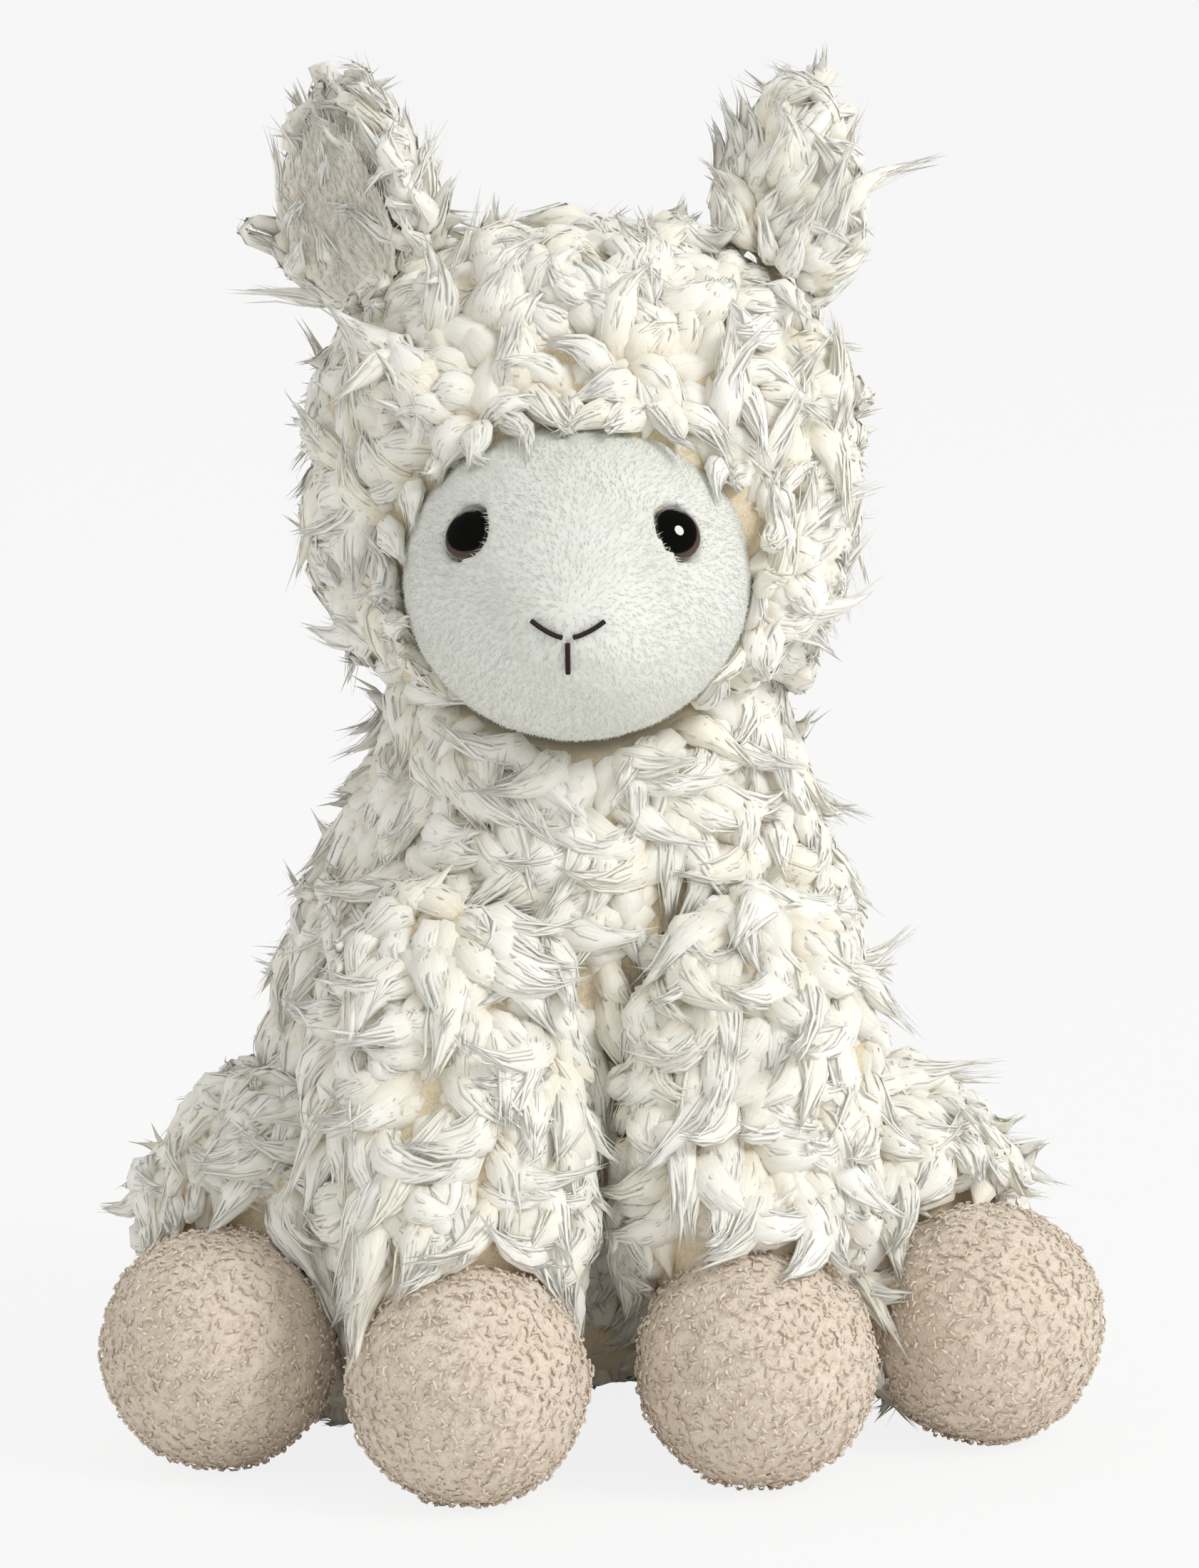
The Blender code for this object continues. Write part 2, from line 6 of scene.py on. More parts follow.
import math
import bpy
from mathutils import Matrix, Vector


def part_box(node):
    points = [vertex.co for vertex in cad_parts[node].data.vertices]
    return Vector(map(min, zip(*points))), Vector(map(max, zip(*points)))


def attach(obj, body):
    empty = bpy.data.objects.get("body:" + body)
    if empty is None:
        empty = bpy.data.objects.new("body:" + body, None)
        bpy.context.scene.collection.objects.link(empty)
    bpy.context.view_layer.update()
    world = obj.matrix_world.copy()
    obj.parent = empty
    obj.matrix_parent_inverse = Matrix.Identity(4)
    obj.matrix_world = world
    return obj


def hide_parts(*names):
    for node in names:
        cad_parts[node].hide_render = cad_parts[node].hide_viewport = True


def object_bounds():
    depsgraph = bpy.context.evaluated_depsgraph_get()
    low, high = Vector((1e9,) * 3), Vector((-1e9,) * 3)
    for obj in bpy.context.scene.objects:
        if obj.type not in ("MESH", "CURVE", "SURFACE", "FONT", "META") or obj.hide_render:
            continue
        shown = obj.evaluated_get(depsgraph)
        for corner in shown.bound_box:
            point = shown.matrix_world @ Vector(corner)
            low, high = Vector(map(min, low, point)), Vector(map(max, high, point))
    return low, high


bl_info = {
    "name": "Plush llama",
    "version": (1, 0, 0),
    "blender": (4, 5, 0),
    "location": "View3D > Sidebar > Plush llama",
    "description": "Dresses the packed llama in curly plush, short pile and boucle",
    "category": "Object",
}

import bmesh
import bpy
import numpy as np
from bpy.props import FloatProperty, FloatVectorProperty, IntProperty, PointerProperty
from mathutils import Vector, noise
from mathutils.bvhtree import BVHTree

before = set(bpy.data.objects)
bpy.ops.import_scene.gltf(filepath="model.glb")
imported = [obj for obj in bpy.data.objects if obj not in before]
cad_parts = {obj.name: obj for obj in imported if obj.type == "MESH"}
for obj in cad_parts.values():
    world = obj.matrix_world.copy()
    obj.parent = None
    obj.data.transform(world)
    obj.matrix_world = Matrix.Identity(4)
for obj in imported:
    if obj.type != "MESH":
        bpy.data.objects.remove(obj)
CAD_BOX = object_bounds()

MM = 0.001
UP = Vector((0, 0, 1))

# The fur lies between these heights
LOWEST = 0.3 * MM
HIGHEST = CAD_BOX[1].z + 17 * MM

# The photograph's camera, and the point that it looks at
CAMERA_AZIMUTH = math.radians(-10)
CAMERA_ELEVATION = math.radians(10)
CAMERA_DISTANCE = 1.5
CAMERA_TARGET = Vector((-0.0048, -0.0557, 0.150))
CAMERA_LENS = 163.9
SENSOR = 36.0
CAMERA_SEES = 40
FLOOR_REACH = 12

LIGHT_BOUNCES = 12
# Brightness of the surroundings that the polished eyes mirror
FLAG = 0.05

# Points of an eye's bead that are nearer than this are one point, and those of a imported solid
BEAD_MERGE = 0.0000008
SOLID_MERGE = 0.00001
# A slanting way for the rays that test what is inside a solid, how far past a crossing the next
# one starts, and how many crossings are followed at most
PROBE_WAY = Vector((0.31, 0.17, 0.935)).normalized()
PROBE_STEP = 0.00001
MOST_CROSSINGS = 20
# How far round a point the solids that it must stay out of are looked for
PUSH_REACH = 12 * MM
# Coordinate shift between the noise of one piece and the next
NOISE_SHIFT = 7.31
# Any value but 0, which would draw the noise from the clock
NOISE_SEED = 3
# Seed of each kind of piece's random draws; each next leg, ear, lining or foot adds one
SEEDS = {
    "torso": 11,
    "head": 12,
    "tail": 13,
    "legs": 20,
    "ears": 30,
    "linings": 40,
    "face": 50,
    "feet": 60,
    "seat": 70,
}

LEGS = ("front_leg_left", "front_leg_right", "rear_leg_left", "rear_leg_right")
LININGS = ("ear_lining_left", "ear_lining_right")
FEET = ("front_foot_left", "front_foot_right", "rear_foot_left", "rear_foot_right")

# Width of the strip without fillers round the face, the feet and the linings
BARE_EDGE = 4.5 * MM
# How many of its steps a lock starts behind the point that it covers
BACK_STEPS = 3
# Voxel size and smoothing rounds of the form that the locks follow, and of the backing
COAT_FORM = (4 * MM, 8)
BACKING_FORM = (3.5 * MM, 4)
# Points tried for each place that a lock or loop may have, and for each that a pile tuft may
LOCK_TRIES = 7
PILE_TRIES = 5

# A filler is drawn from these steps of its lock
FILLER_STEPS = (0, 2, 4, 6, 7)

# A lock's thickness along its length, then a wisp's, a hair's, a pile tuft's and a yarn loop's
LOCK_TAPER = np.array((0.0, 0.70, 0.98, 1.0, 0.80, 0.50, 0.22, 0.0))
WISP_TAPER = np.array((0.0, 0.9, 1.0, 0.7, 0.0))
HAIR_TAPER = np.array((0.0, 1.0, 0.0))
PILE_TAPER = np.array((0.0, 1.0, 0.0))
LOOP_TAPER = np.array((0.0, 1.0, 1.0, 0.0))


def cross_section(sides, height):
    """Points round an ellipse of half width 1 and this half height, as (across, up)."""
    turns = 2 * math.pi * np.arange(sides) / sides
    return np.stack([np.cos(turns), height * np.sin(turns)], axis=1)


# A thick lock, a thick tuft, a flat strip with a ridge along it, and a yarn
LOCK_FLATNESS = 0.72
LOCK_RING = cross_section(6, LOCK_FLATNESS)
TUFT_RING = cross_section(5, LOCK_FLATNESS)
STRIP_RING = np.array(((1.0, -0.25), (0.0, 0.15), (-1.0, -0.25)))
YARN_RING = cross_section(3, 1.0)
# How far a strip looks away from its lock's middle line; the rest of it looks out of the cloth
TILT = 0.35


def srgb(text):
    """The linear colour of a hex value."""
    shares = [int(text[i : i + 2], 16) / 255 for i in (1, 3, 5)]
    return tuple(s / 12.92 if s <= 0.04045 else ((s + 0.055) / 1.055) ** 2.4 for s in shares)


# Colour of the light all round
SURROUNDINGS = srgb("#F8F7F3")
# The one lamp: a soft disc in front, to the right of the toy and above it
KEY_PLACE = Vector((1.7, -1.6, 1.9))
KEY_SIZE = 1.2
KEY_COLOUR = (1.0, 0.995, 0.975)


class PlushSettings(bpy.types.PropertyGroup):
    spacing: FloatProperty(
        name="Lock spacing",
        description="Least distance between the roots of two locks",
        default=5.3 * MM,
        subtype="DISTANCE",
    )
    length: FloatProperty(
        name="Lock length",
        description="Length of a middling lock",
        default=23 * MM,
        subtype="DISTANCE",
    )
    width: FloatProperty(
        name="Lock width",
        description="Width of a middling lock",
        default=8.2 * MM,
        subtype="DISTANCE",
    )
    wisps: IntProperty(name="Wisps", description="Wisps on each lock", default=8, min=0)
    hairs: IntProperty(name="Hairs", description="Fine hairs on each lock", default=8, min=0)
    tip: FloatVectorProperty(
        name="Tip colour",
        description="Colour of the fur's outer ends",
        default=srgb("#FAFAF7"),
        subtype="COLOR",
        size=3,
    )
    # The root colour is darker than the tips as painted shade, for the gaps near the backing
    root: FloatVectorProperty(
        name="Root colour",
        description="Colour near the backing",
        default=srgb("#E8E0D0"),
        subtype="COLOR",
        size=3,
    )


class PileSettings(bpy.types.PropertyGroup):
    length: FloatProperty(
        name="Pile length",
        description="Length of the face's pile",
        default=3.0 * MM,
        subtype="DISTANCE",
    )
    spacing: FloatProperty(
        name="Pile spacing",
        description="Distance between two tufts of the face's pile",
        default=0.86 * MM,
        subtype="DISTANCE",
    )
    colour: FloatVectorProperty(
        name="Pile colour",
        description="Colour of the face",
        default=srgb("#E4E6E1"),
        subtype="COLOR",
        size=3,
    )


class BoucleSettings(bpy.types.PropertyGroup):
    loops: IntProperty(
        name="Loops", description="Loops of yarn that stand out on a foot", default=2000, min=0
    )
    colour: FloatVectorProperty(
        name="Yarn colour",
        description="Colour of the feet",
        default=srgb("#DED1C2"),
        subtype="COLOR",
        size=3,
    )


class StageSettings(bpy.types.PropertyGroup):
    backdrop: FloatVectorProperty(
        name="Backdrop colour",
        description="Colour of the floor and backdrop",
        default=srgb("#F9F9F9"),
        subtype="COLOR",
        size=3,
    )
    key: FloatProperty(
        name="Key light", description="Power of the key lamp", default=40, unit="POWER"
    )
    fill: FloatProperty(name="Fill", description="Strength of the light all round", default=0.79)


def add_node(tree, kind, inputs=(), stops=(), **settings):
    """A node with its settings, its ramp's stops, and its inputs' values or links."""
    node = tree.nodes.new(kind)
    for key, value in settings.items():
        setattr(node, key, value)
    for key, value in dict(inputs).items():
        if isinstance(value, bpy.types.NodeSocket):
            tree.links.new(value, node.inputs[key])
        else:
            node.inputs[key].default_value = value
    for i, (place, colour) in enumerate(stops):
        elements = node.color_ramp.elements
        stop = elements[i] if i < len(elements) else elements.new(place)
        stop.position = place
        stop.color = (*colour, 1)
    return node


def new_material(name, **values):
    """A material with a Principled shader, and constants on the shader's own sockets."""
    made = bpy.data.materials.new(name)
    made.use_nodes = True
    tree = made.node_tree
    shader = tree.nodes["Principled BSDF"]
    for key, value in values.items():
        shader.inputs[key.replace("_", " ")].default_value = value
    return made, tree, shader


def linked(tree, output, node, key):
    tree.links.new(output, node.inputs[key])


def attribute(tree, name):
    """One of the strands' own values at each point."""
    return add_node(tree, "ShaderNodeAttribute", attribute_name=name).outputs["Fac"]


def place_on_piece(tree):
    return add_node(tree, "ShaderNodeTexCoord").outputs["Object"]


def noise_over(tree, place, scale, detail=2.0, roughness=0.5, distortion=0.0):
    """Noise over these coordinates, from 0 to 1."""
    inputs = {"Vector": place, "Scale": scale, "Detail": detail}
    inputs.update(Roughness=roughness, Distortion=distortion)
    return add_node(tree, "ShaderNodeTexNoise", inputs).outputs["Fac"]


def calculated(tree, operation, *values):
    return add_node(
        tree, "ShaderNodeMath", dict(enumerate(values)), operation=operation
    ).outputs[0]


def between(tree, share, a, b):
    """A value between two others, by this share."""
    inputs = {"Factor": share, "A": a, "B": b}
    return add_node(tree, "ShaderNodeMix", inputs, data_type="FLOAT").outputs[0]


def multiplied(tree, share, colour, other):
    """A colour multiplied by another one, by this share."""
    inputs = {"Factor": share, 6: colour, 7: other}
    return add_node(
        tree, "ShaderNodeMix", inputs, data_type="RGBA", blend_type="MULTIPLY"
    ).outputs[2]


def ramp(tree, value, *stops):
    """The colour that the stops give for this value."""
    return add_node(tree, "ShaderNodeValToRGB", {"Fac": value}, stops=stops).outputs[0]


def bump(tree, height, strength, distance):
    inputs = {"Height": height, "Strength": strength, "Distance": distance}
    return add_node(tree, "ShaderNodeBump", inputs).outputs[0]


def surfaced(tree, shader, colour, relief):
    """Gives the shader its colour and its relief."""
    linked(tree, colour, shader, "Base Color")
    linked(tree, relief, shader, "Normal")


def long_plush_material(settings):
    """Acrylic curly plush: crimped fibres that scatter light. The colour is brighter at the tips
    and tan towards the
    roots and the woven backing: painted shade in the gaps between the locks."""
    made, tree, shader = new_material(
        "Acrylic curly plush",
        Roughness=0.85,
        Sheen_Weight=0.5,
        Sheen_Roughness=0.6,
        Specular_IOR_Level=0.1,
    )
    along, shade = attribute(tree, "along"), attribute(tree, "shade")
    uv = add_node(tree, "ShaderNodeUVMap", uv_map="UVMap").outputs["UV"]
    # Fine fibres round a lock, and slow waves along it
    stretched = add_node(tree, "ShaderNodeMapping", {"Vector": uv, "Scale": (56, 3.0, 1)})
    # Each lock has its own part of the noise
    apart = calculated(tree, "MULTIPLY", shade, 53.0)
    own = add_node(tree, "ShaderNodeCombineXYZ", {"Z": apart})
    place = add_node(
        tree,
        "ShaderNodeVectorMath",
        {0: stretched.outputs[0], 1: own.outputs[0]},
        operation="ADD",
    )
    fibres = noise_over(tree, place.outputs[0], 1.0, 3.0, 0.6, 0.5)
    # The colour runs from the tan roots to the bright tips: painted shade that darkens the gaps
    # near the backing
    depth = between(tree, 0.16, along, fibres)
    root, tip = tuple(settings.root), tuple(settings.tip)
    middle = tuple(0.42 * a + 0.58 * b for a, b in zip(root, tip, strict=True))
    colour = ramp(tree, depth, (0.06, root), (0.26, middle), (0.50, tip))
    streaks = ramp(tree, fibres, (0.30, srgb("#F2ECE0")), (0.55, (1, 1, 1)))
    streaked = multiplied(tree, 0.6, colour, streaks)
    # Some locks lean to warm cream and some to a cool white
    tint = ramp(
        tree, shade, (0.0, srgb("#F9F5E8")), (0.5, (1, 1, 1)), (1.0, srgb("#F4F4EF"))
    )
    tinted = multiplied(tree, 0.7, streaked, tint)
    # Painted shade on the backing and at the roots: a tan mottle that fades out over the first part
    # of each lock
    root_shade_noise = noise_over(tree, place_on_piece(tree), 900.0, 4.0, 0.7, 1.5)
    root_shade_mottle = ramp(tree, root_shade_noise, (0.38, srgb("#E2D7C4")), (0.60, (1, 1, 1)))
    root_shade_share = add_node(
        tree,
        "ShaderNodeMapRange",
        {"Value": along, "From Max": 0.4, "To Min": 0.8, "To Max": 0.0},
    )
    with_root_shade = multiplied(tree, root_shade_share.outputs[0], tinted, root_shade_mottle)
    surfaced(tree, shader, with_root_shade, bump(tree, fibres, 0.35, 0.3 * MM))
    return made


def pile_material(name, colour, low, comb_scale):
    """Sheared polyester pile: a soft matt nap, painted greyer at the tufts' roots and on the
    backing between them than on their tips, as shade.
    """
    made, tree, shader = new_material(
        name, Roughness=0.9, Sheen_Weight=0.4, Sheen_Roughness=0.45, Specular_IOR_Level=0.2
    )
    place, along = place_on_piece(tree), attribute(tree, "along")
    nap = noise_over(tree, place, comb_scale, 4.0, 0.65, 0.3)
    patches = noise_over(tree, place, 60.0)
    mixed = between(tree, 0.35, nap, patches)
    # Tuft tips are lighter than their roots and the backing: painted shade between the tufts, on
    # top of the nap's random tone
    texture_and_painted_shade = calculated(tree, "MULTIPLY_ADD", along, 0.22, mixed)
    tone = ramp(tree, texture_and_painted_shade, (0.34, low), (0.56, tuple(colour)))
    surfaced(tree, shader, tone, bump(tree, nap, 0.2, 0.6 * MM))
    return made


def boucle_material(settings):
    """Boucle of looped yarn: matt knots of about 2 mm, painted lighter on top as highlight and
    brown between as shade.
    """
    made, tree, shader = new_material(
        "Looped boucle yarn",
        Roughness=0.92,
        Sheen_Weight=0.3,
        Sheen_Roughness=0.5,
        Specular_IOR_Level=0.2,
    )
    place, along = place_on_piece(tree), attribute(tree, "along")
    loops = noise_over(tree, place, 420.0, 2.5, 0.6, 2.2)
    fuzz = noise_over(tree, place, 1500.0, 3.0)
    height = between(tree, 0.3, loops, fuzz)
    # The loops and the relief's high parts are painted lighter, the ball under them and the hollows
    # brown: painted highlight and painted shade
    texture_and_painted_shade = calculated(tree, "MULTIPLY_ADD", along, 0.18, height)
    yarn = tuple(settings.colour)
    # A painted highlight colour for the loops' tops; the brown stop below is the painted shade
    # between them
    light = tuple(min(1.0, 1.12 * c + 0.02) for c in yarn)
    tone = ramp(tree, texture_and_painted_shade, (0.30, srgb("#C2AD95")), (0.46, yarn), (0.66, light))
    surfaced(tree, shader, tone, bump(tree, height, 0.7, 0.9 * MM))
    return made


def eye_material():
    """Moulded acrylic safety eye: polished black, with a brown-grey ring beside the pupil."""
    made, tree, shader = new_material(
        "Polished black acrylic", Roughness=0.05, Coat_Weight=1.0, Coat_Roughness=0.03
    )
    ring = ramp(
        tree,
        attribute(tree, "along"),
        (0.0, srgb("#050505")),
        (0.66, srgb("#070605")),
        (0.71, srgb("#594A46")),
        (0.95, srgb("#64544F")),
        (1.0, srgb("#3A302D")),
    )
    linked(tree, ring, shader, "Base Color")
    return made


def thread_material():
    """Twisted polyester thread: two plies that turn once in about 1.2 mm."""
    made, tree, shader = new_material("Twisted brown thread", Roughness=0.7)
    uv = add_node(tree, "ShaderNodeUVMap", uv_map="UVMap").outputs["UV"]
    slant = add_node(
        tree, "ShaderNodeMapping", {"Vector": uv, "Rotation": (0, 0, 0.6), "Scale": (2, 9, 1)}
    )
    plies = add_node(
        tree,
        "ShaderNodeTexWave",
        {"Vector": slant.outputs[0], "Scale": 1.0, "Distortion": 1.5, "Detail": 2.0},
    )
    plies = plies.outputs["Fac"]
    tone = ramp(tree, plies, (0.2, srgb("#33241F")), (0.8, srgb("#5B443B")))
    surfaced(tree, shader, tone, bump(tree, plies, 0.6, 0.2 * MM))
    return made


def nylon_material():
    """Moulded natural nylon: off-white and slightly waxy."""
    made, tree, shader = new_material("Moulded nylon", Roughness=0.45)
    cloud = noise_over(tree, place_on_piece(tree), 400.0)
    tone = ramp(tree, cloud, (0.3, srgb("#DEDDD6")), (0.7, srgb("#EDECE6")))
    linked(tree, tone, shader, "Base Color")
    return made


def ray_kinds(tree):
    """The light path's values, and whether the camera sees the place straight or through glass."""
    rays = add_node(tree, "ShaderNodeLightPath").outputs
    seen = calculated(tree, "MAXIMUM", rays["Is Camera Ray"], rays["Is Transmission Ray"])
    return rays, seen


def either(tree, share, a, b):
    """One shader or the other, by this share."""
    return add_node(tree, "ShaderNodeMixShader", {0: share, 1: a, 2: b}).outputs[0]


def glow(tree, colour, strength):
    inputs = {"Color": colour, "Strength": strength}
    return add_node(tree, "ShaderNodeEmission", inputs).outputs[0]


def backdrop_material(settings):
    """Seamless paper. The camera sees its own colour, darkened only where the toy shades it, and
    polished things mirror it as dark as a black flag."""
    made, tree, shader = new_material("Seamless paper", Roughness=1.0, Specular_IOR_Level=0.0)
    colour = (*tuple(settings.backdrop), 1)
    shader.inputs["Base Color"].default_value = colour
    rays, seen = ray_kinds(tree)
    share = calculated(tree, "MULTIPLY", seen, 0.90)
    paper = either(tree, share, shader.outputs[0], glow(tree, colour, 1.0))
    mirrored = either(tree, rays["Is Glossy Ray"], paper, glow(tree, colour, FLAG))
    linked(tree, mirrored, tree.nodes["Material Output"], "Surface")
    return made


def material_of(name):
    """The material of this short name, made once."""
    scene = bpy.context.scene
    makers = {
        "plush": lambda: long_plush_material(scene.llama_plush),
        # Each pile's second colour is the painted shade at its tufts' roots and on its backing
        "pile": lambda: pile_material(
            "Sheared white pile", scene.llama_pile.colour, srgb("#D3D5CD"), 900.0
        ),
        "lining": lambda: pile_material(
            "Sheared lining pile", srgb("#EEECE4"), srgb("#D6CCBA"), 700.0
        ),
        "seat": lambda: pile_material(
            "Sheared seat pile", srgb("#FBF9EE"), srgb("#E6E3D6"), 700.0
        ),
        "boucle": lambda: boucle_material(scene.llama_boucle),
        "eye": eye_material,
        "thread": thread_material,
        "nylon": nylon_material,
        "backdrop": lambda: backdrop_material(scene.llama_stage),
    }
    if name not in MATERIALS:
        MATERIALS[name] = makers[name]()
    return MATERIALS[name]


MATERIALS = {}


def add_object(name, mesh, material):
    mesh.name = name
    mesh.materials.clear()
    mesh.materials.append(material)
    made = bpy.data.objects.new(name, mesh)
    bpy.context.scene.collection.objects.link(made)
    return made


def mesh_from(bm, name):
    mesh = bpy.data.meshes.new(name)
    bm.to_mesh(mesh)
    bm.free()
    return mesh


def evaluated_mesh(obj):
    graph = bpy.context.evaluated_depsgraph_get()
    return bpy.data.meshes.new_from_object(obj.evaluated_get(graph), depsgraph=graph)


def merged_solid(node):
    """A copy of a solid whose loose triangles are joined."""
    bm = bmesh.new()
    bm.from_mesh(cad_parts[node].data)
    bmesh.ops.remove_doubles(bm, verts=bm.verts, dist=SOLID_MERGE)
    return bm


def tree_of(mesh):
    bm = bmesh.new()
    bm.from_mesh(mesh)
    tree = BVHTree.FromBMesh(bm)
    bm.free()
    return tree


def solid_tree(node):
    if node not in SOLID_TREES:
        bm = merged_solid(node)
        SOLID_TREES[node] = BVHTree.FromBMesh(bm)
        bm.free()
    return SOLID_TREES[node]


SOLID_TREES = {}


def smooth_form(nodes, inset, voxel, rounds):
    """A smoothed and closed copy of these solids together, moved in by the inset."""
    parts = [
        add_object(node + "_form", mesh_from(merged_solid(node), node), None) for node in nodes
    ]
    made = merged(parts)
    if inset:
        shrink = made.modifiers.new("Inset", "DISPLACE")
        shrink.strength = -inset
        shrink.mid_level = 0
    even = made.modifiers.new("Even", "REMESH")
    even.mode = "VOXEL"
    even.voxel_size = voxel
    mesh = in_order(evaluated_mesh(made))
    bpy.data.objects.remove(made)
    made = add_object("form", mesh, None)
    round_over = made.modifiers.new("Round over", "SMOOTH")
    round_over.factor = 0.5
    round_over.iterations = rounds
    mesh = evaluated_mesh(made)
    bpy.data.objects.remove(made)
    return mesh


def in_order(mesh):
    """The mesh with its points and faces sorted by place, so that the fur drawn on it doesn't
    depend on how the remesher numbers them."""
    places = np.empty(len(mesh.vertices) * 3, np.float32)
    mesh.vertices.foreach_get("co", places)
    places = places.reshape(-1, 3)
    order = np.lexsort(places.T)
    number = np.empty(len(order), int)
    number[order] = np.arange(len(order))
    faces = []
    for face in mesh.polygons:
        corners = [int(number[i]) for i in face.vertices]
        first = corners.index(min(corners))
        faces.append(tuple(corners[first:] + corners[:first]))
    sorted_mesh = bpy.data.meshes.new(mesh.name)
    sorted_mesh.from_pydata([tuple(place) for place in places[order].tolist()], [], sorted(faces))
    bpy.data.meshes.remove(mesh)
    return sorted_mesh


def merged(objects):
    """The objects joined into the first."""
    with bpy.context.temp_override(
        active_object=objects[0], selected_editable_objects=objects, object=objects[0]
    ):
        bpy.ops.object.join()
    return objects[0]


def scatter(mesh, spacing, rng, tries=LOCK_TRIES):
    """Points on a mesh at least spacing apart, with their normals."""
    mesh.calc_loop_triangles()
    count = len(mesh.loop_triangles)
    corners = np.empty(count * 3, np.int32)
    mesh.loop_triangles.foreach_get("vertices", corners)
    places = np.empty(len(mesh.vertices) * 3)
    mesh.vertices.foreach_get("co", places)
    normals = np.empty(len(mesh.vertices) * 3)
    mesh.vertices.foreach_get("normal", normals)
    corners = corners.reshape(-1, 3)
    places, normals = places.reshape(-1, 3)[corners], normals.reshape(-1, 3)[corners]
    areas = np.linalg.norm(
        np.cross(places[:, 1] - places[:, 0], places[:, 2] - places[:, 0]), axis=1
    )
    wanted = int(tries * areas.sum() / 2 / spacing**2)
    picked = rng.choice(count, wanted, p=areas / areas.sum())
    a, b = np.sqrt(rng.random(wanted)), rng.random(wanted)
    shares = np.stack([1 - a, a * (1 - b), a * b], axis=1)[:, :, None]
    points = (places[picked] * shares).sum(axis=1)
    ups = (normals[picked] * shares).sum(axis=1)
    ups /= np.linalg.norm(ups, axis=1, keepdims=True)
    cells, kept = {}, []
    near = [(x, y, z) for x in (-1, 0, 1) for y in (-1, 0, 1) for z in (-1, 0, 1)]
    keys = np.floor(points / spacing).astype(int)
    for i, (point, key) in enumerate(zip(points, keys)):
        x, y, z = key
        close = (j for dx, dy, dz in near for j in cells.get((x + dx, y + dy, z + dz), ()))
        if all(((points[j] - point) ** 2).sum() > spacing**2 for j in close):
            cells.setdefault((x, y, z), []).append(i)
            kept.append(i)
    return points[kept], ups[kept]


def inside(tree, point):
    """Whether the point is in the solid: a ray from it crosses the surface an odd number of
    times."""
    crossings, start = 0, point
    while crossings < MOST_CROSSINGS:
        place, _, _, _ = tree.ray_cast(start, PROBE_WAY)
        if place is None:
            break
        crossings += 1
        start = place + PROBE_WAY * PROBE_STEP
    return crossings % 2 == 1


def swirl(point, size, seed):
    """A direction that changes smoothly over about this size."""
    return Vector(noise.noise_vector(point / size + Vector((seed * NOISE_SHIFT, 0, 0))))


def strand_pattern(steps, sides):
    """Faces of one closed strand as vertex numbers, and each corner's place round and along it."""
    faces, corners = [], []
    last = 1 + (steps - 2) * sides

    def number(row, j):
        return 0 if row == 0 else last if row == steps - 1 else 1 + (row - 1) * sides + j % sides

    for row in range(steps - 1):
        for j in range(sides):
            spots = [(row, j), (row + 1, j), (row + 1, j + 1), (row, j + 1)]
            if row == 0:
                spots.pop()
            elif row == steps - 2:
                spots.pop(2)
            faces.append([number(*spot) for spot in spots])
            corners += [(j / sides, row / (steps - 1)) for row, j in spots]
    return faces, corners


def sweep(paths, radii, facing, ring, along, shade):
    """A mesh of tapered strands with pointed ends. The ring is the cross-section, as shares of
    the radius across and towards the facing. The fibre attributes hold each point's share of
    the strand's length and each strand's own random number."""
    count, steps, _ = paths.shape
    tangents = unit(np.gradient(paths, axis=1))
    up = unit(facing - tangents * (facing * tangents).sum(-1, keepdims=True))
    across = np.cross(tangents, up)
    inner = slice(1, steps - 1)
    wide = radii[:, inner, None, None] * across[:, inner, None]
    high = radii[:, inner, None, None] * up[:, inner, None]
    rings = paths[:, inner, None] + wide * ring[:, :1] + high * ring[:, 1:]
    places = np.concatenate([paths[:, :1], rings.reshape(count, -1, 3), paths[:, -1:]], axis=1)
    places[..., 2] = np.maximum(places[..., 2], 0)
    faces, corners = strand_pattern(steps, len(ring))
    pattern = np.concatenate(faces)
    sizes = np.array([len(face) for face in faces])
    first = np.concatenate([[0], np.cumsum(sizes)[:-1]])
    strands = np.arange(count)[:, None]
    mesh = bpy.data.meshes.new("strands")
    mesh.vertices.add(places.shape[0] * places.shape[1])
    mesh.vertices.foreach_set("co", places.ravel().astype(np.float32))
    mesh.loops.add(count * len(pattern))
    numbers = (pattern + places.shape[1] * strands).ravel()
    mesh.loops.foreach_set("vertex_index", numbers.astype(np.int32))
    mesh.polygons.add(count * len(faces))
    starts = (first + len(pattern) * strands).ravel()
    mesh.polygons.foreach_set("loop_start", starts.astype(np.int32))
    mesh.update(calc_edges=True)
    layer = mesh.uv_layers.new(name="UVMap")
    layer.data.foreach_set("uv", np.tile(np.array(corners, np.float32).ravel(), count))

    def per_vertex(values):
        """Values of each step, repeated round the strand."""
        middle = np.repeat(values[:, inner], len(ring), axis=1)
        return np.concatenate([values[:, :1], middle, values[:, -1:]], axis=1)

    shades = np.repeat(shade[:, None], steps, axis=1)
    for name, values in (("along", along), ("shade", shades)):
        layer = mesh.attributes.new(name, "FLOAT", "POINT")
        layer.data.foreach_set("value", per_vertex(values).ravel().astype(np.float32))
    if ring is not STRIP_RING:
        mesh.shade_smooth()
    return mesh


def joined(name, meshes, material):
    """One object from several meshes, which keeps their maps and attributes."""
    made = merged([add_object(name + "_part", mesh, material) for mesh in meshes])
    made.name = name
    made.data.name = name
    return made


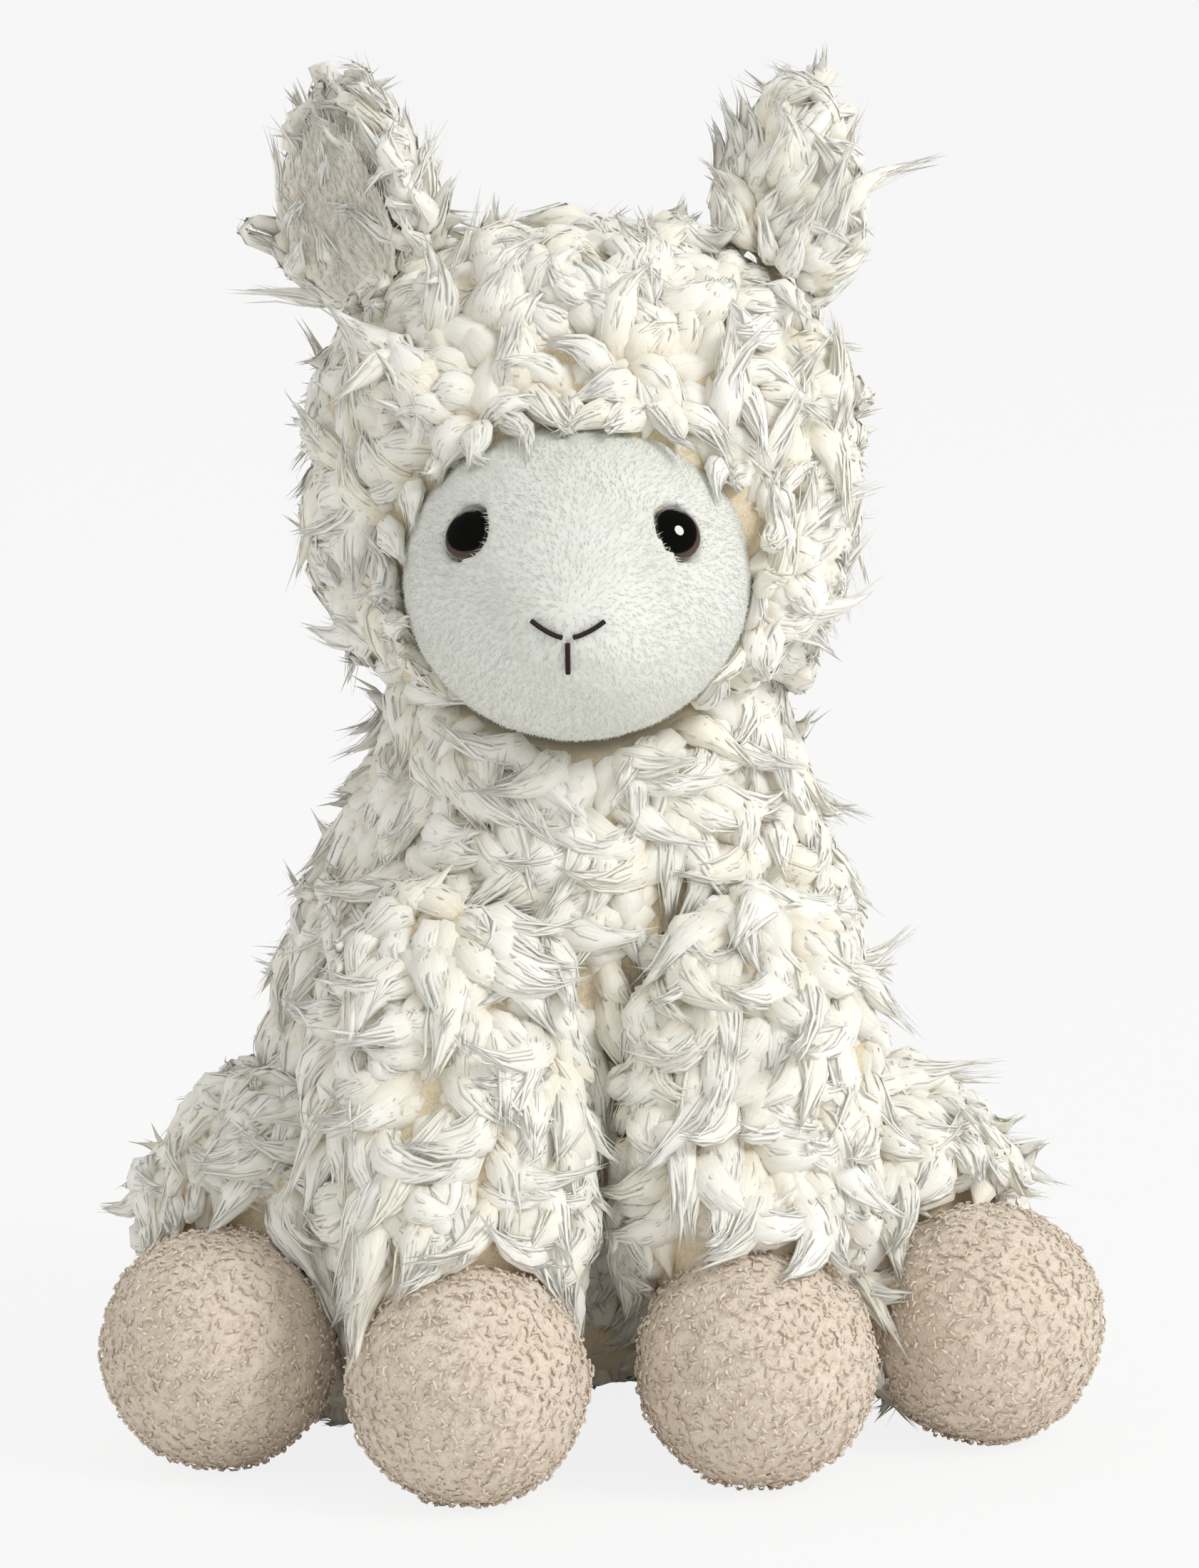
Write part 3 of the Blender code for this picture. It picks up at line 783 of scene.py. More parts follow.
def lock_path(tree, root, up, ahead, values):
    """A lock's middle line and the cloth's normals along it: out of the backing, then along
    the coat, turning as it goes and leaving it towards the tip."""
    steps = len(LOCK_TAPER)
    step = values["length"] / (steps - 1)
    here, points, ups = root.copy(), [], []
    for _ in range(BACK_STEPS):
        place, normal, _, _ = tree.find_nearest(here - ahead * step)
        here, up = place, (up + normal).normalized()
        ahead = (ahead - up * ahead.dot(up)).normalized()
    for i in range(steps):
        t = i / (steps - 1)
        out = min(1.0, t / 0.45)
        out = out * out * (3 - 2 * out)
        height = -values["sunk"] * (1 - out) + values["rise"] * out + values["lift"] * t**3
        points.append(here + up * height)
        ups.append(up.copy())
        ahead = (ahead - up * ahead.dot(up)).normalized()
        side = up.cross(ahead)
        angle = values["turn"] / (steps - 1)
        ahead = ahead * math.cos(angle) + side * math.sin(angle)
        here = here + ahead * step
        place, normal, _, _ = tree.find_nearest(here)
        here = place.lerp(here, values["loose"] * t)
        up = (up + normal).normalized()
    return points, ups


def push_out(points, trees, clearance):
    """Moves points that are in or near these solids out to the clearance."""
    for i, point in enumerate(points):
        for tree in trees:
            place, normal, _, distance = tree.find_nearest(point, PUSH_REACH)
            if place is None:
                continue
            depth = distance if (place - point).dot(normal) > 0 else -distance
            if depth > -clearance[i]:
                points[i] = point = point + normal * (depth + clearance[i])
    return points


def belongs(point, node, others):
    """Whether this point of a common form lies on the node and not on one of the others."""
    own = solid_tree(node).find_nearest(point)[3]
    return all(solid_tree(other).find_nearest(point)[3] >= own for other in others)


def grow_locks(form, comb, rng, coat, covered, clear_of):
    """The locks of one coat, as arrays: middle lines, normals, radii and a random number."""
    tree = tree_of(form)
    roots, ups = scatter(form, coat["spacing"], rng)
    hiding = [solid_tree(node) for node in covered]
    avoided = [solid_tree(node) for node in clear_of]
    paths, normals, radii = [], [], []
    for root, up in zip(roots, ups):
        draws = rng.random(9)
        root, up = Vector(root), Vector(up)
        if not belongs(root, *coat["own"]):
            continue
        if any(solid_tree(node).find_nearest(root)[3] < BARE_EDGE for node in coat["bare"]):
            continue
        if any(inside(other, root + up * coat["probe"]) for other in hiding):
            continue
        ahead, bulk, reach = comb(root, up)
        ahead = (ahead - up * ahead.dot(up)).normalized()
        side = up.cross(ahead)
        angle = coat["stray"] * (draws[0] + draws[1] - 1) * 2
        ahead = ahead * math.cos(angle) + side * math.sin(angle)
        sign = 1 if swirl(root, 13 * MM, 6).y + 0.5 * (draws[2] - 0.5) > 0 else -1
        values = {
            "length": coat["length"] * reach * (0.7 + 0.6 * draws[3]),
            "turn": sign * coat["curl"] * (0.15 + 0.85 * draws[4] ** 1.5),
            "sunk": coat["sunk"],
            "rise": coat["rise"] * (draws[5] * 2 - 1) - coat["low"],
            "lift": coat["lift"] * (draws[6] ** 3 - 0.1),
            "loose": coat["loose"] * max(coat["free"], draws[7]),
        }
        radius = coat["width"] / 2 * bulk * (0.72 + 0.56 * draws[8])
        points, lines = lock_path(tree, root, up, ahead, values)
        if avoided:
            points = push_out(points, avoided, LOCK_TAPER * radius * 0.8)
        paths.append([tuple(point) for point in points])
        normals.append([tuple(line) for line in lines])
        radii.append(radius)
    paths, normals = np.array(paths), np.array(normals)
    smooth = paths.copy()
    smooth[:, 1:-1] = 0.25 * paths[:, :-2] + 0.5 * paths[:, 1:-1] + 0.25 * paths[:, 2:]
    shade = rng.random(len(paths))
    thick = np.array(radii)[:, None] * LOCK_TAPER * rng.uniform(0.86, 1.14, smooth.shape[:2])
    return {"paths": held_in(smooth, thick), "normals": normals, "radii": thick, "shade": shade}


def held_in(paths, thick):
    """The paths, raised off the floor and kept under the height that the fur may reach."""
    paths[..., 2] = np.clip(paths[..., 2], thick + LOWEST, HIGHEST - thick)
    return paths


def unit(vectors):
    return vectors / np.maximum(np.linalg.norm(vectors, axis=-1, keepdims=True), 1e-9)


def grow_children(locks, count, rng, style):
    """Thin strands that lie round each lock, follow it and run past its tip."""
    guides = locks["paths"]
    total, steps, _ = guides.shape
    tangents = unit(np.gradient(guides, axis=1))
    over = locks["normals"] - tangents * (locks["normals"] * tangents).sum(-1, keepdims=True)
    over = unit(over)
    across = np.cross(tangents, over)
    owner = np.repeat(np.arange(total), count)
    many, points = len(owner), len(style["taper"])
    start = rng.uniform(*style["start"], many)[:, None]
    stop = rng.uniform(*style["stop"], many)[:, None]
    t = start + (stop - start) * np.linspace(0, 1, points)[None]
    cell = np.clip(np.floor(t * (steps - 1)).astype(int), 0, steps - 2)
    share = (t * (steps - 1) - cell)[..., None]
    rows = owner[:, None]

    def at(values):
        return values[rows, cell] * (1 - share) + values[rows, cell + 1] * share

    held = np.minimum(share, 1.0)
    radii = locks["radii"][..., None]
    radius = radii[rows, cell] * (1 - held) + radii[rows, cell + 1] * held
    spin = rng.normal(0, style["spread"], many)[:, None]
    angle = spin + rng.normal(0, style["twist"], many)[:, None] * (t - start)
    out = rng.uniform(*style["out"], many)[:, None, None]
    flare = rng.normal(0, style["flare"], (many, 1, 2)) * (t - start)[..., None] ** 2
    wave = style["wave"] * np.sin(
        (t * rng.uniform(5, 11, (many, 1)) + rng.uniform(0, 6.3, (many, 1)))
    )
    flat = np.cos(angle)[..., None] * radius * LOCK_FLATNESS
    lift = flat * out + flare[..., :1] + wave[..., None]
    slide = np.sin(angle)[..., None] * radius * out + flare[..., 1:]
    paths = at(guides) + at(over) * lift + at(across) * slide
    thin = rng.uniform(*style["radius"], many)[:, None] * np.array(style["taper"])
    shade = np.clip(locks["shade"][owner] + rng.normal(0, 0.15, many), 0, 1)
    away = np.cos(angle)[..., None] * at(over) + np.sin(angle)[..., None] * at(across)
    facing = at(over) * (1 - TILT) + away * TILT
    return held_in(paths, thin), thin, facing, np.clip(t, 0, 1), shade


WISPS = {
    "taper": WISP_TAPER,
    "start": (0.0, 0.40),
    "stop": (0.80, 1.15),
    "spread": 1.1,
    "twist": 0.7,
    "out": (0.93, 1.03),
    "flare": 1.3 * MM,
    "wave": 0.08 * MM,
    "radius": (0.35 * MM, 0.75 * MM),
}
HAIRS = {
    "taper": HAIR_TAPER,
    "start": (0.1, 0.70),
    "stop": (0.75, 1.15),
    "spread": 1.1,
    "twist": 1.4,
    "out": (0.99, 1.08),
    "flare": 2.2 * MM,
    "wave": 0.15 * MM,
    "radius": (0.11 * MM, 0.20 * MM),
}


def coat_meshes(locks, settings, rng):
    """The swept meshes of the locks, their wisps and their hairs."""
    along = np.repeat(np.linspace(0, 1, len(LOCK_TAPER))[None], len(locks["paths"]), axis=0)
    meshes = [
        sweep(locks["paths"], locks["radii"], locks["normals"], LOCK_RING, along, locks["shade"])
    ]
    for vert in meshes[0].vertices:
        vert.co += swirl(vert.co, 3.2 * MM, 10) * 0.6 * MM
        vert.co.z = max(vert.co.z, LOWEST)
    for style, count in ((WISPS, settings.wisps), (HAIRS, settings.hairs)):
        if count:
            paths, thin, facing, share, shade = grow_children(locks, count, rng, style)
            meshes.append(sweep(paths, thin, facing, STRIP_RING, share, shade))
    return meshes


def filler_mesh(form, comb, rng, coat, covered, clear_of):
    """Short fat tufts that lie deeper than the locks, so that no backing shows between them.
    They stay away from the edges of the solids that the locks hang over."""
    low = dict(coat)
    low.update(
        spacing=coat["spacing"] * 0.92,
        length=coat["length"] * 0.82,
        width=coat["width"] * 1.12,
        low=coat["low"] + 2.2 * MM,
        lift=0,
        bare=clear_of,
    )
    tufts = grow_locks(form, comb, rng, low, (*covered, *clear_of), ())
    paths, thick, facing = (tufts[key][:, FILLER_STEPS] for key in ("paths", "radii", "normals"))
    # The fillers take the colour of the locks a third of the way out from the roots: painted shade
    # for tufts that lie deeper
    along = np.full(thick.shape, 0.35)
    return sweep(paths, thick, facing, TUFT_RING, along, tufts["shade"])


def base_coat(settings, **changes):
    """The values that a coat's locks share, with the changes of one piece."""
    coat = {
        "spacing": settings.spacing,
        "length": settings.length,
        "width": settings.width,
        "curl": 2.4,
        "stray": 0.35,
        "sunk": 6.0 * MM,
        "rise": 1.5 * MM,
        "low": 1.0 * MM,
        "lift": 11.0 * MM,
        "loose": 0.9,
        "probe": 3.5 * MM,
        "free": 0.0,
        "bare": (),
    }
    coat.update(changes)
    return coat


def settle(piece, nodes):
    """The piece rides on the root, and its solids are hidden."""
    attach(piece, "root")
    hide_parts(*nodes)


def dress(node, seed, comb, coat, covered, clear_of, inset, split=None, bridged=()):
    """Replaces a furry solid with its backing and its coat of locks. The locks pass from the
    solid on to the bridged ones without a step."""
    settings = bpy.context.scene.llama_plush
    rng = np.random.default_rng(seed)
    coat["own"] = (node, bridged)
    form = smooth_form((node, *bridged), 0, *COAT_FORM)
    locks = grow_locks(form, comb, rng, coat, covered, clear_of)
    fillers = filler_mesh(form, comb, rng, coat, covered, clear_of)
    bpy.data.meshes.remove(form)
    # The backing has no fibre values, so the plush material paints it in the tan root colour with
    # the mottle: painted shade in the gaps between the locks
    backing = smooth_form((node, *bridged), inset, *BACKING_FORM)
    backing.shade_smooth()
    groups = {node + "_plush": np.ones(len(locks["paths"]), bool)}
    if split:
        first = split(locks["paths"][:, 0])
        groups = {node + "_plush_front": first, node + "_plush_back": ~first}
    for i, (name, chosen) in enumerate(groups.items()):
        some = {key: value[chosen] for key, value in locks.items()}
        meshes = coat_meshes(some, settings, rng)
        if i == 0:
            meshes += [backing, fillers]
        piece = joined(name, meshes, material_of("plush"))
        settle(piece, [node])


def centre_of(node):
    low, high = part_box(node)
    return (low + high) / 2


FACE_CENTRE = centre_of("face")
# The torso's coat is two pieces, in front of this place and behind it
TORSO_SPLIT = 12 * MM
# A safety eye: its dome, the rim under it and the shank, and the steps that draw it
EYE_RADIUS = 6.0 * MM
EYE_DOME = 3.8 * MM
EYE_RIM = 1.2 * MM
EYE_BEVEL = 0.3 * MM
SHANK_RADIUS = 1.7 * MM
SHANK_LENGTH = 11 * MM
DOME_STEPS = 14
SPIN_STEPS = 48
# How far a pupil lies from its bead's middle, inward and a little down
PUPIL_SHIFT = 1.3 * MM
# The way that the face looks, level, from the head's turn on the neck
FACE_TURN = math.radians(12)
FACE_AHEAD = Vector((-math.sin(FACE_TURN), -math.cos(FACE_TURN), 0))
# Heights at which the neck's and the crown's direction sets in, and the height that it takes
NECK_FROM = 0.125
CROWN_FROM = 0.222
SETS_IN_OVER = 0.03
# Size of the swirls in the coat of the torso and the legs
BODY_SWIRL = 21 * MM
# Share of an even spacing at which the wanted number of loops fits on a foot
LOOP_PACKING = 0.62


def comb_torso(point, normal):
    """Down, with swirls, and slantwise at the neck."""
    neck = min(1.0, max(0.0, (point.z - NECK_FROM) / SETS_IN_OVER))
    ahead = Vector((0.75 * neck, 0, -1)) + swirl(point, BODY_SWIRL, 1) * 1.1
    return ahead, 1.0, 1.0 + 0.1 * neck


def comb_head(point, normal):
    """Away from the face and down at the sides, in round swirls on the crown."""
    from_face = point - FACE_CENTRE
    outward = from_face - FACE_AHEAD * from_face.dot(FACE_AHEAD)
    outward.normalize()
    crown = min(1.0, max(0.0, (point.z - CROWN_FROM) / SETS_IN_OVER))
    ahead = outward * (1 - 0.5 * crown) + Vector((0, 0, -0.45)) * (1 - crown)
    ahead += swirl(point, 15 * MM, 2) * (0.9 + 1.0 * crown)
    _, _, _, distance = solid_tree("face").find_nearest(point)
    rim = min(1.0, max(0.0, 1.6 - distance / (7 * MM)))
    along_rim = FACE_AHEAD.cross(outward) * (1 if swirl(point, 9 * MM, 3).x > 0 else -1)
    ahead = ahead.lerp(along_rim * 0.9 - outward * 0.7, rim)
    # Round the ears the locks stand up in front of the linings
    near = min(solid_tree(lining).find_nearest(point)[3] for lining in LININGS)
    ahead = ahead.lerp(UP, min(0.9, max(0.0, 1.3 - near / (8 * MM))))
    return ahead, 1.0 - 0.15 * rim, 1.0 - 0.15 * crown - 0.25 * rim


def comb_leg(seed):
    """Down and a little outward, with swirls."""

    def comb(point, normal):
        outward = Vector((normal.x, normal.y, 0)) * 0.25
        ahead = Vector((0, 0, -1)) + outward + swirl(point, BODY_SWIRL, seed) * 1.1
        return ahead, 1.0, 1.0

    return comb


def comb_rear_leg(node, foot, seed):
    """Down and along the leg to its foot, with swirls."""
    toward = (centre_of(foot) - centre_of(node)).normalized()

    def comb(point, normal):
        ahead = toward * 0.9 + Vector((0, 0, -0.6)) + swirl(point, BODY_SWIRL, seed) * 1.0
        return ahead, 1.0, 1.0

    return comb


def comb_ear(lining, lean, seed):
    """Up and leaning to one side, and over the lining's edge."""
    middle = centre_of(lining)

    def comb(point, normal):
        ahead = Vector((lean, 0.0, 1.0)) + swirl(point, 14 * MM, seed) * 0.9
        _, _, _, distance = solid_tree(lining).find_nearest(point)
        rim = min(0.8, max(0.0, 1.3 - distance / (6 * MM)))
        inward = middle - point
        inward.z = 0.8 * inward.length
        return ahead.lerp(inward.normalized(), rim), 0.72, 0.85

    return comb


def comb_tail(point, normal):
    """Down and a little back."""
    return Vector((0, 0.4, -1)) + swirl(point, 16 * MM, 9), 1.0, 1.0


def strand_pile(form, rng, comb, covered, spacing, length, lean, thin):
    """A sheared pile of short tufts, as swept strands."""
    roots, ups = scatter(form, spacing, rng, PILE_TRIES)
    hiding = [solid_tree(node) for node in covered]
    keep, ahead = [], []
    for i, (root, up) in enumerate(zip(roots, ups)):
        point, normal = Vector(root), Vector(up)
        if any(inside(other, point + normal * 1.0 * MM) for other in hiding):
            continue
        way = comb(point, normal)
        way = (way - normal * way.dot(normal)).normalized()
        keep.append(i)
        ahead.append(tuple(way))
    roots, ups, ahead = roots[keep], ups[keep], np.array(ahead)
    many = len(roots)
    side = np.cross(ups, ahead)
    bend = rng.normal(0, 0.30, (many, 1))
    ahead = ahead * np.cos(bend) + side * np.sin(bend)
    long = length * rng.uniform(0.7, 1.3, (many, 1, 1))
    t = np.linspace(0, 1, len(PILE_TAPER))[None, :, None]
    lift = (1 - lean) * t - 0.12
    slide = lean * t**1.4
    paths = roots[:, None] + long * (lift * ups[:, None] + slide * ahead[:, None])
    thick = rng.uniform(0.6, 1.0, (many, 1)) * thin * PILE_TAPER
    # The tufts' share of length rises to their tips, so the pile material paints their roots
    # darker: painted shade
    share = np.repeat(t[:, :, 0], many, axis=0)
    facing = np.repeat(ups[:, None], len(PILE_TAPER), axis=1)
    return sweep(paths, thick, facing, STRIP_RING, share, rng.random(many))


def dress_in_pile(node, name, seed, comb, covered, shape, tufts, material):
    """Replaces a sheared solid with its backing and its pile. The shape is the backing's inset,
    voxel size and smoothing rounds. The tufts are their spacing, length, lean and half width."""
    rng = np.random.default_rng(seed)
    # The backing has no along value, so the pile material paints it in its shade colour between the
    # tufts
    backing = smooth_form((node,), *shape)
    strands = strand_pile(backing, rng, comb, covered, *tufts)
    backing.shade_smooth()
    piece = joined(name, [strands, backing], material_of(material))
    settle(piece, [node])


def comb_lining(point, normal):
    """Up, with swirls."""
    return UP + swirl(point, 10 * MM, 3) * 0.8


def comb_seat(point, normal):
    """Back, with swirls."""
    return Vector((0, 1, 0)) + swirl(point, 12 * MM, 8) * 0.6


def comb_face(point, normal):
    """Back from the nose and down over the cheeks."""
    nose = FACE_CENTRE + FACE_AHEAD * 48 * MM
    back = point - nose
    return back.normalized() + Vector((0, 0, -0.35)) + swirl(point, 12 * MM, 4) * 0.7


class LLAMA_OT_stage(bpy.types.Operator):
    """Camera, seamless backdrop and soft studio light"""

    bl_idname = "llama.stage"
    bl_label = "Stage"

    def execute(self, context):
        settings = context.scene.llama_stage
        scene = context.scene
        scene.view_settings.view_transform = "Standard"
        # White fibres pass light on many times
        scene.cycles.max_bounces = LIGHT_BOUNCES
        scene.cycles.diffuse_bounces = LIGHT_BOUNCES
        away = Vector(
            (
                math.sin(CAMERA_AZIMUTH) * math.cos(CAMERA_ELEVATION),
                -math.cos(CAMERA_AZIMUTH) * math.cos(CAMERA_ELEVATION),
                math.sin(CAMERA_ELEVATION),
            )
        )
        lens = bpy.data.cameras.new("Camera")
        lens.lens = CAMERA_LENS
        lens.sensor_fit = "AUTO"
        lens.sensor_width = SENSOR
        lens.clip_end = CAMERA_SEES
        camera = bpy.data.objects.new("Camera", lens)
        camera.location = CAMERA_TARGET + away * CAMERA_DISTANCE
        camera.rotation_mode = "QUATERNION"
        camera.rotation_quaternion = (-away).to_track_quat("-Z", "Y")
        scene.collection.objects.link(camera)
        scene.camera = camera

        bm = bmesh.new()
        bmesh.ops.create_grid(bm, x_segments=1, y_segments=1, size=FLOOR_REACH)
        floor = add_object("floor", mesh_from(bm, "floor"), material_of("backdrop"))

        world = bpy.data.worlds.new("Studio")
        world.use_nodes = True
        tree = world.node_tree
        rays, seen = ray_kinds(tree)
        strength = add_node(
            tree,
            "ShaderNodeMapRange",
            {"Value": rays["Is Glossy Ray"], "To Min": settings.fill, "To Max": FLAG},
        )
        light = add_node(
            tree,
            "ShaderNodeBackground",
            {"Color": (*SURROUNDINGS, 1), "Strength": strength.outputs[0]},
        )
        paper = add_node(
            tree, "ShaderNodeBackground", {"Color": (*tuple(settings.backdrop), 1), "Strength": 1.0}
        )
        mix = either(tree, seen, light.outputs[0], paper.outputs[0])
        linked(tree, mix, tree.nodes["World Output"], "Surface")
        scene.world = world

        lamp = bpy.data.lights.new("key", "AREA")
        lamp.shape = "DISK"
        lamp.size = KEY_SIZE
        lamp.energy = settings.key
        lamp.color = KEY_COLOUR
        holder = bpy.data.objects.new("key", lamp)
        holder.location = KEY_PLACE
        holder.rotation_mode = "QUATERNION"
        holder.rotation_quaternion = (CAMERA_TARGET - KEY_PLACE).to_track_quat("-Z", "Y")
        scene.collection.objects.link(holder)
        return {"FINISHED"}


class LLAMA_OT_torso(bpy.types.Operator):
    """Torso and neck of curly plush"""

    bl_idname = "llama.torso"
    bl_label = "Torso"

    def execute(self, context):
        coat = base_coat(context.scene.llama_plush)
        dress(
            "torso",
            SEEDS["torso"],
            comb_torso,
            coat,
            ("head", "face", "seat_panel", *LEGS, *FEET),
            ("face", *FEET),
            3.5 * MM,
            lambda roots: roots[:, 1] < TORSO_SPLIT,
        )
        return {"FINISHED"}


class LLAMA_OT_head(bpy.types.Operator):
    """Hood of curly plush round the face"""

    bl_idname = "llama.head"
    bl_label = "Head"

    def execute(self, context):
        coat = base_coat(context.scene.llama_plush, probe=3 * MM)
        covered = ("face", "torso")
        seed = SEEDS["head"]
        dress("head", seed, comb_head, coat, covered, ("face",), 3 * MM, bridged=("face",))
        return {"FINISHED"}


class LLAMA_OT_legs(bpy.types.Operator):
    """Four stuffed legs of curly plush"""

    bl_idname = "llama.legs"
    bl_label = "Legs"

    def execute(self, context):
        coat = base_coat(context.scene.llama_plush)
        for i, node in enumerate(LEGS):
            foot = FEET[i]
            comb = comb_rear_leg(node, foot, 5 + i) if "rear" in node else comb_leg(5 + i)
            covered = ("torso", "seat_panel", *FEET, *[leg for leg in LEGS if leg != node])
            seed = SEEDS["legs"] + i
            dress(node, seed, comb, coat, covered, FEET, 3.5 * MM, bridged=(foot,))
        return {"FINISHED"}


class LLAMA_OT_ears(bpy.types.Operator):
    """Ears of curly plush with a short-pile lining"""

    bl_idname = "llama.ears"
    bl_label = "Ears"

    def execute(self, context):
        settings = context.scene.llama_plush
        for i, (side, lean) in enumerate((("left", -0.45), ("right", 0.85))):
            ear, lining = "ear_" + side, "ear_lining_" + side
            coat = base_coat(
                settings,
                spacing=settings.spacing * 0.85,
                sunk=4 * MM,
                low=0.6 * MM,
                probe=3 * MM,
                curl=1.2,
                free=0.85,
            )
            comb = comb_ear(lining, lean, 12 + i)
            covered = ("head", "face", lining)
            dress(ear, SEEDS["ears"] + i, comb, coat, covered, (lining,), 3.5 * MM)
            dress_in_pile(
                lining,
                lining + "_pile",
                SEEDS["linings"] + i,
                comb_lining,
                (ear, "head"),
                shape=(0, 0.9 * MM, 6),
                tufts=(1.0 * MM, 7.0 * MM, 0.68, 0.28 * MM),
                material="lining",
            )
        return {"FINISHED"}


class LLAMA_OT_face(bpy.types.Operator):
    """Face of sheared white pile"""

    bl_idname = "llama.face"
    bl_label = "Face"

    def execute(self, context):
        settings = context.scene.llama_pile
        dress_in_pile(
            "face",
            "face_pile",
            SEEDS["face"],
            comb_face,
            ("head", "torso"),
            shape=(0.6 * MM, 1.3 * MM, 5),
            tufts=(settings.spacing, settings.length, 0.72, 0.14 * MM),
            material="pile",
        )
        return {"FINISHED"}


class LLAMA_OT_eyes(bpy.types.Operator):
    """Domed safety eyes and the washers behind them"""

    bl_idname = "llama.eyes"
    bl_label = "Eyes"

    def execute(self, context):
        for side in ("left", "right"):
            eye, washer = "eye_" + side, "eye_washer_" + side
            bm = merged_solid(eye)
            places = np.array([vert.co for vert in bm.verts])
            bm.free()
            bm = merged_solid(washer)
            behind = Vector(np.mean([vert.co for vert in bm.verts], axis=0))
            bm.free()
            axis = (Vector(places.mean(axis=0)) - behind).normalized()
            reach = (places - np.array(behind)) @ np.array(axis)
            apex = behind + axis * reach.max()
            turn = axis.to_track_quat("Z", "Y").to_matrix().to_4x4()
            turn.translation = apex
            profile = [
                (EYE_RADIUS * math.sin(a), -EYE_DOME * (1 - math.cos(a)))
                for a in (math.pi / 2 * i / DOME_STEPS for i in range(DOME_STEPS + 1))
            ]
            profile += [
                (EYE_RADIUS - EYE_BEVEL, -EYE_DOME - EYE_RIM),
                (SHANK_RADIUS, -EYE_DOME - EYE_RIM),
                (SHANK_RADIUS, -EYE_DOME - SHANK_LENGTH),
                (0, -EYE_DOME - SHANK_LENGTH),
            ]
            bm = bmesh.new()
            verts = [bm.verts.new((x, 0, z)) for x, z in profile]
            edges = [bm.edges.new(pair) for pair in zip(verts, verts[1:])]
            bmesh.ops.spin(
                bm,
                geom=verts + edges,
                axis=UP,
                cent=(0, 0, 0),
                angle=2 * math.pi,
                steps=SPIN_STEPS,
                use_merge=True,
            )
            bmesh.ops.remove_doubles(bm, verts=bm.verts, dist=BEAD_MERGE)
            bmesh.ops.recalc_face_normals(bm, faces=bm.faces)
            inward = FACE_CENTRE - apex
            inward -= FACE_AHEAD * inward.dot(FACE_AHEAD)
            inward.z = -0.2 * inward.length
            inward = turn.inverted().to_3x3() @ inward
            inward.z = 0
            pupil = inward.normalized() * PUPIL_SHIFT
            reach = EYE_RADIUS + PUPIL_SHIFT
            out = [(vert.co.xy - pupil.xy).length / reach for vert in bm.verts]
            bmesh.ops.transform(bm, matrix=turn, verts=bm.verts)
            mesh = mesh_from(bm, eye + "_bead")
            layer = mesh.attributes.new("along", "FLOAT", "POINT")
            layer.data.foreach_set("value", out)
            mesh.shade_smooth()
            settle(add_object(eye + "_bead", mesh, material_of("eye")), [eye])
            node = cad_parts[washer]
            node.material_slots[0].material = material_of("nylon")
        return {"FINISHED"}


class LLAMA_OT_stitches(bpy.types.Operator):
    """Nose and mouth in brown thread"""

    bl_idname = "llama.stitches"
    bl_label = "Nose and mouth"

    def execute(self, context):
        for node in ("nose_stitch_left", "nose_stitch_right", "mouth_stitch"):
            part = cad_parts[node]
            part.material_slots[0].material = material_of("thread")
        return {"FINISHED"}


class LLAMA_OT_feet(bpy.types.Operator):
    """Ball feet of boucle"""

    bl_idname = "llama.feet"
    bl_label = "Feet"

    def execute(self, context):
        settings = context.scene.llama_boucle
        for i, node in enumerate(FEET):
            rng = np.random.default_rng(SEEDS["feet"] + i)
            form = smooth_form((node,), 0.5 * MM, 2.0 * MM, 3)
            bm = bmesh.new()
            bm.from_mesh(form)
            bm.normal_update()
            moves = [
                vert.normal * 0.7 * MM * noise.noise(vert.co / (2.0 * MM)) for vert in bm.verts
            ]
            for vert, move in zip(bm.verts, moves):
                vert.co += move
            bm.to_mesh(form)
            bm.free()
            form.shade_smooth()
            area = sum(face.area for face in form.polygons)
            roots, ups = scatter(form, math.sqrt(LOOP_PACKING * area / settings.loops), rng)
            many = len(roots)
            ahead = unit(np.cross(ups, rng.normal(0, 1, (many, 3))))
            side = np.cross(ups, ahead)
            bend = rng.uniform(1.2, 3.6, (many, 1, 1)) * rng.choice((-1, 1), (many, 1, 1))
            t = np.linspace(-0.5, 0.5, len(LOOP_TAPER))[None, :, None]
            reach = rng.uniform(0.8, 1.5, (many, 1, 1)) * MM
            paths = (
                roots[:, None]
                + ups[:, None] * (rng.uniform(0.3, 1.0, (many, 1, 1)) - 3.0 * t**2) * MM
                + ahead[:, None] * np.sin(bend * t) * reach
                + side[:, None] * np.cos(bend * t) * reach * 0.8
            )
            thick = rng.uniform(0.24, 0.42, (many, 1)) * MM * LOOP_TAPER
            # The loops get the full along value and the ball under them none, so the material
            # paints the ball darker as shade under the loops
            share = np.ones((many, len(LOOP_TAPER)))
            facing = np.repeat(ups[:, None], len(LOOP_TAPER), axis=1)
            loops = sweep(paths, thick, facing, YARN_RING, share, rng.random(many))
            piece = joined(node + "_boucle", [loops, form], material_of("boucle"))
            settle(piece, [node])
        return {"FINISHED"}


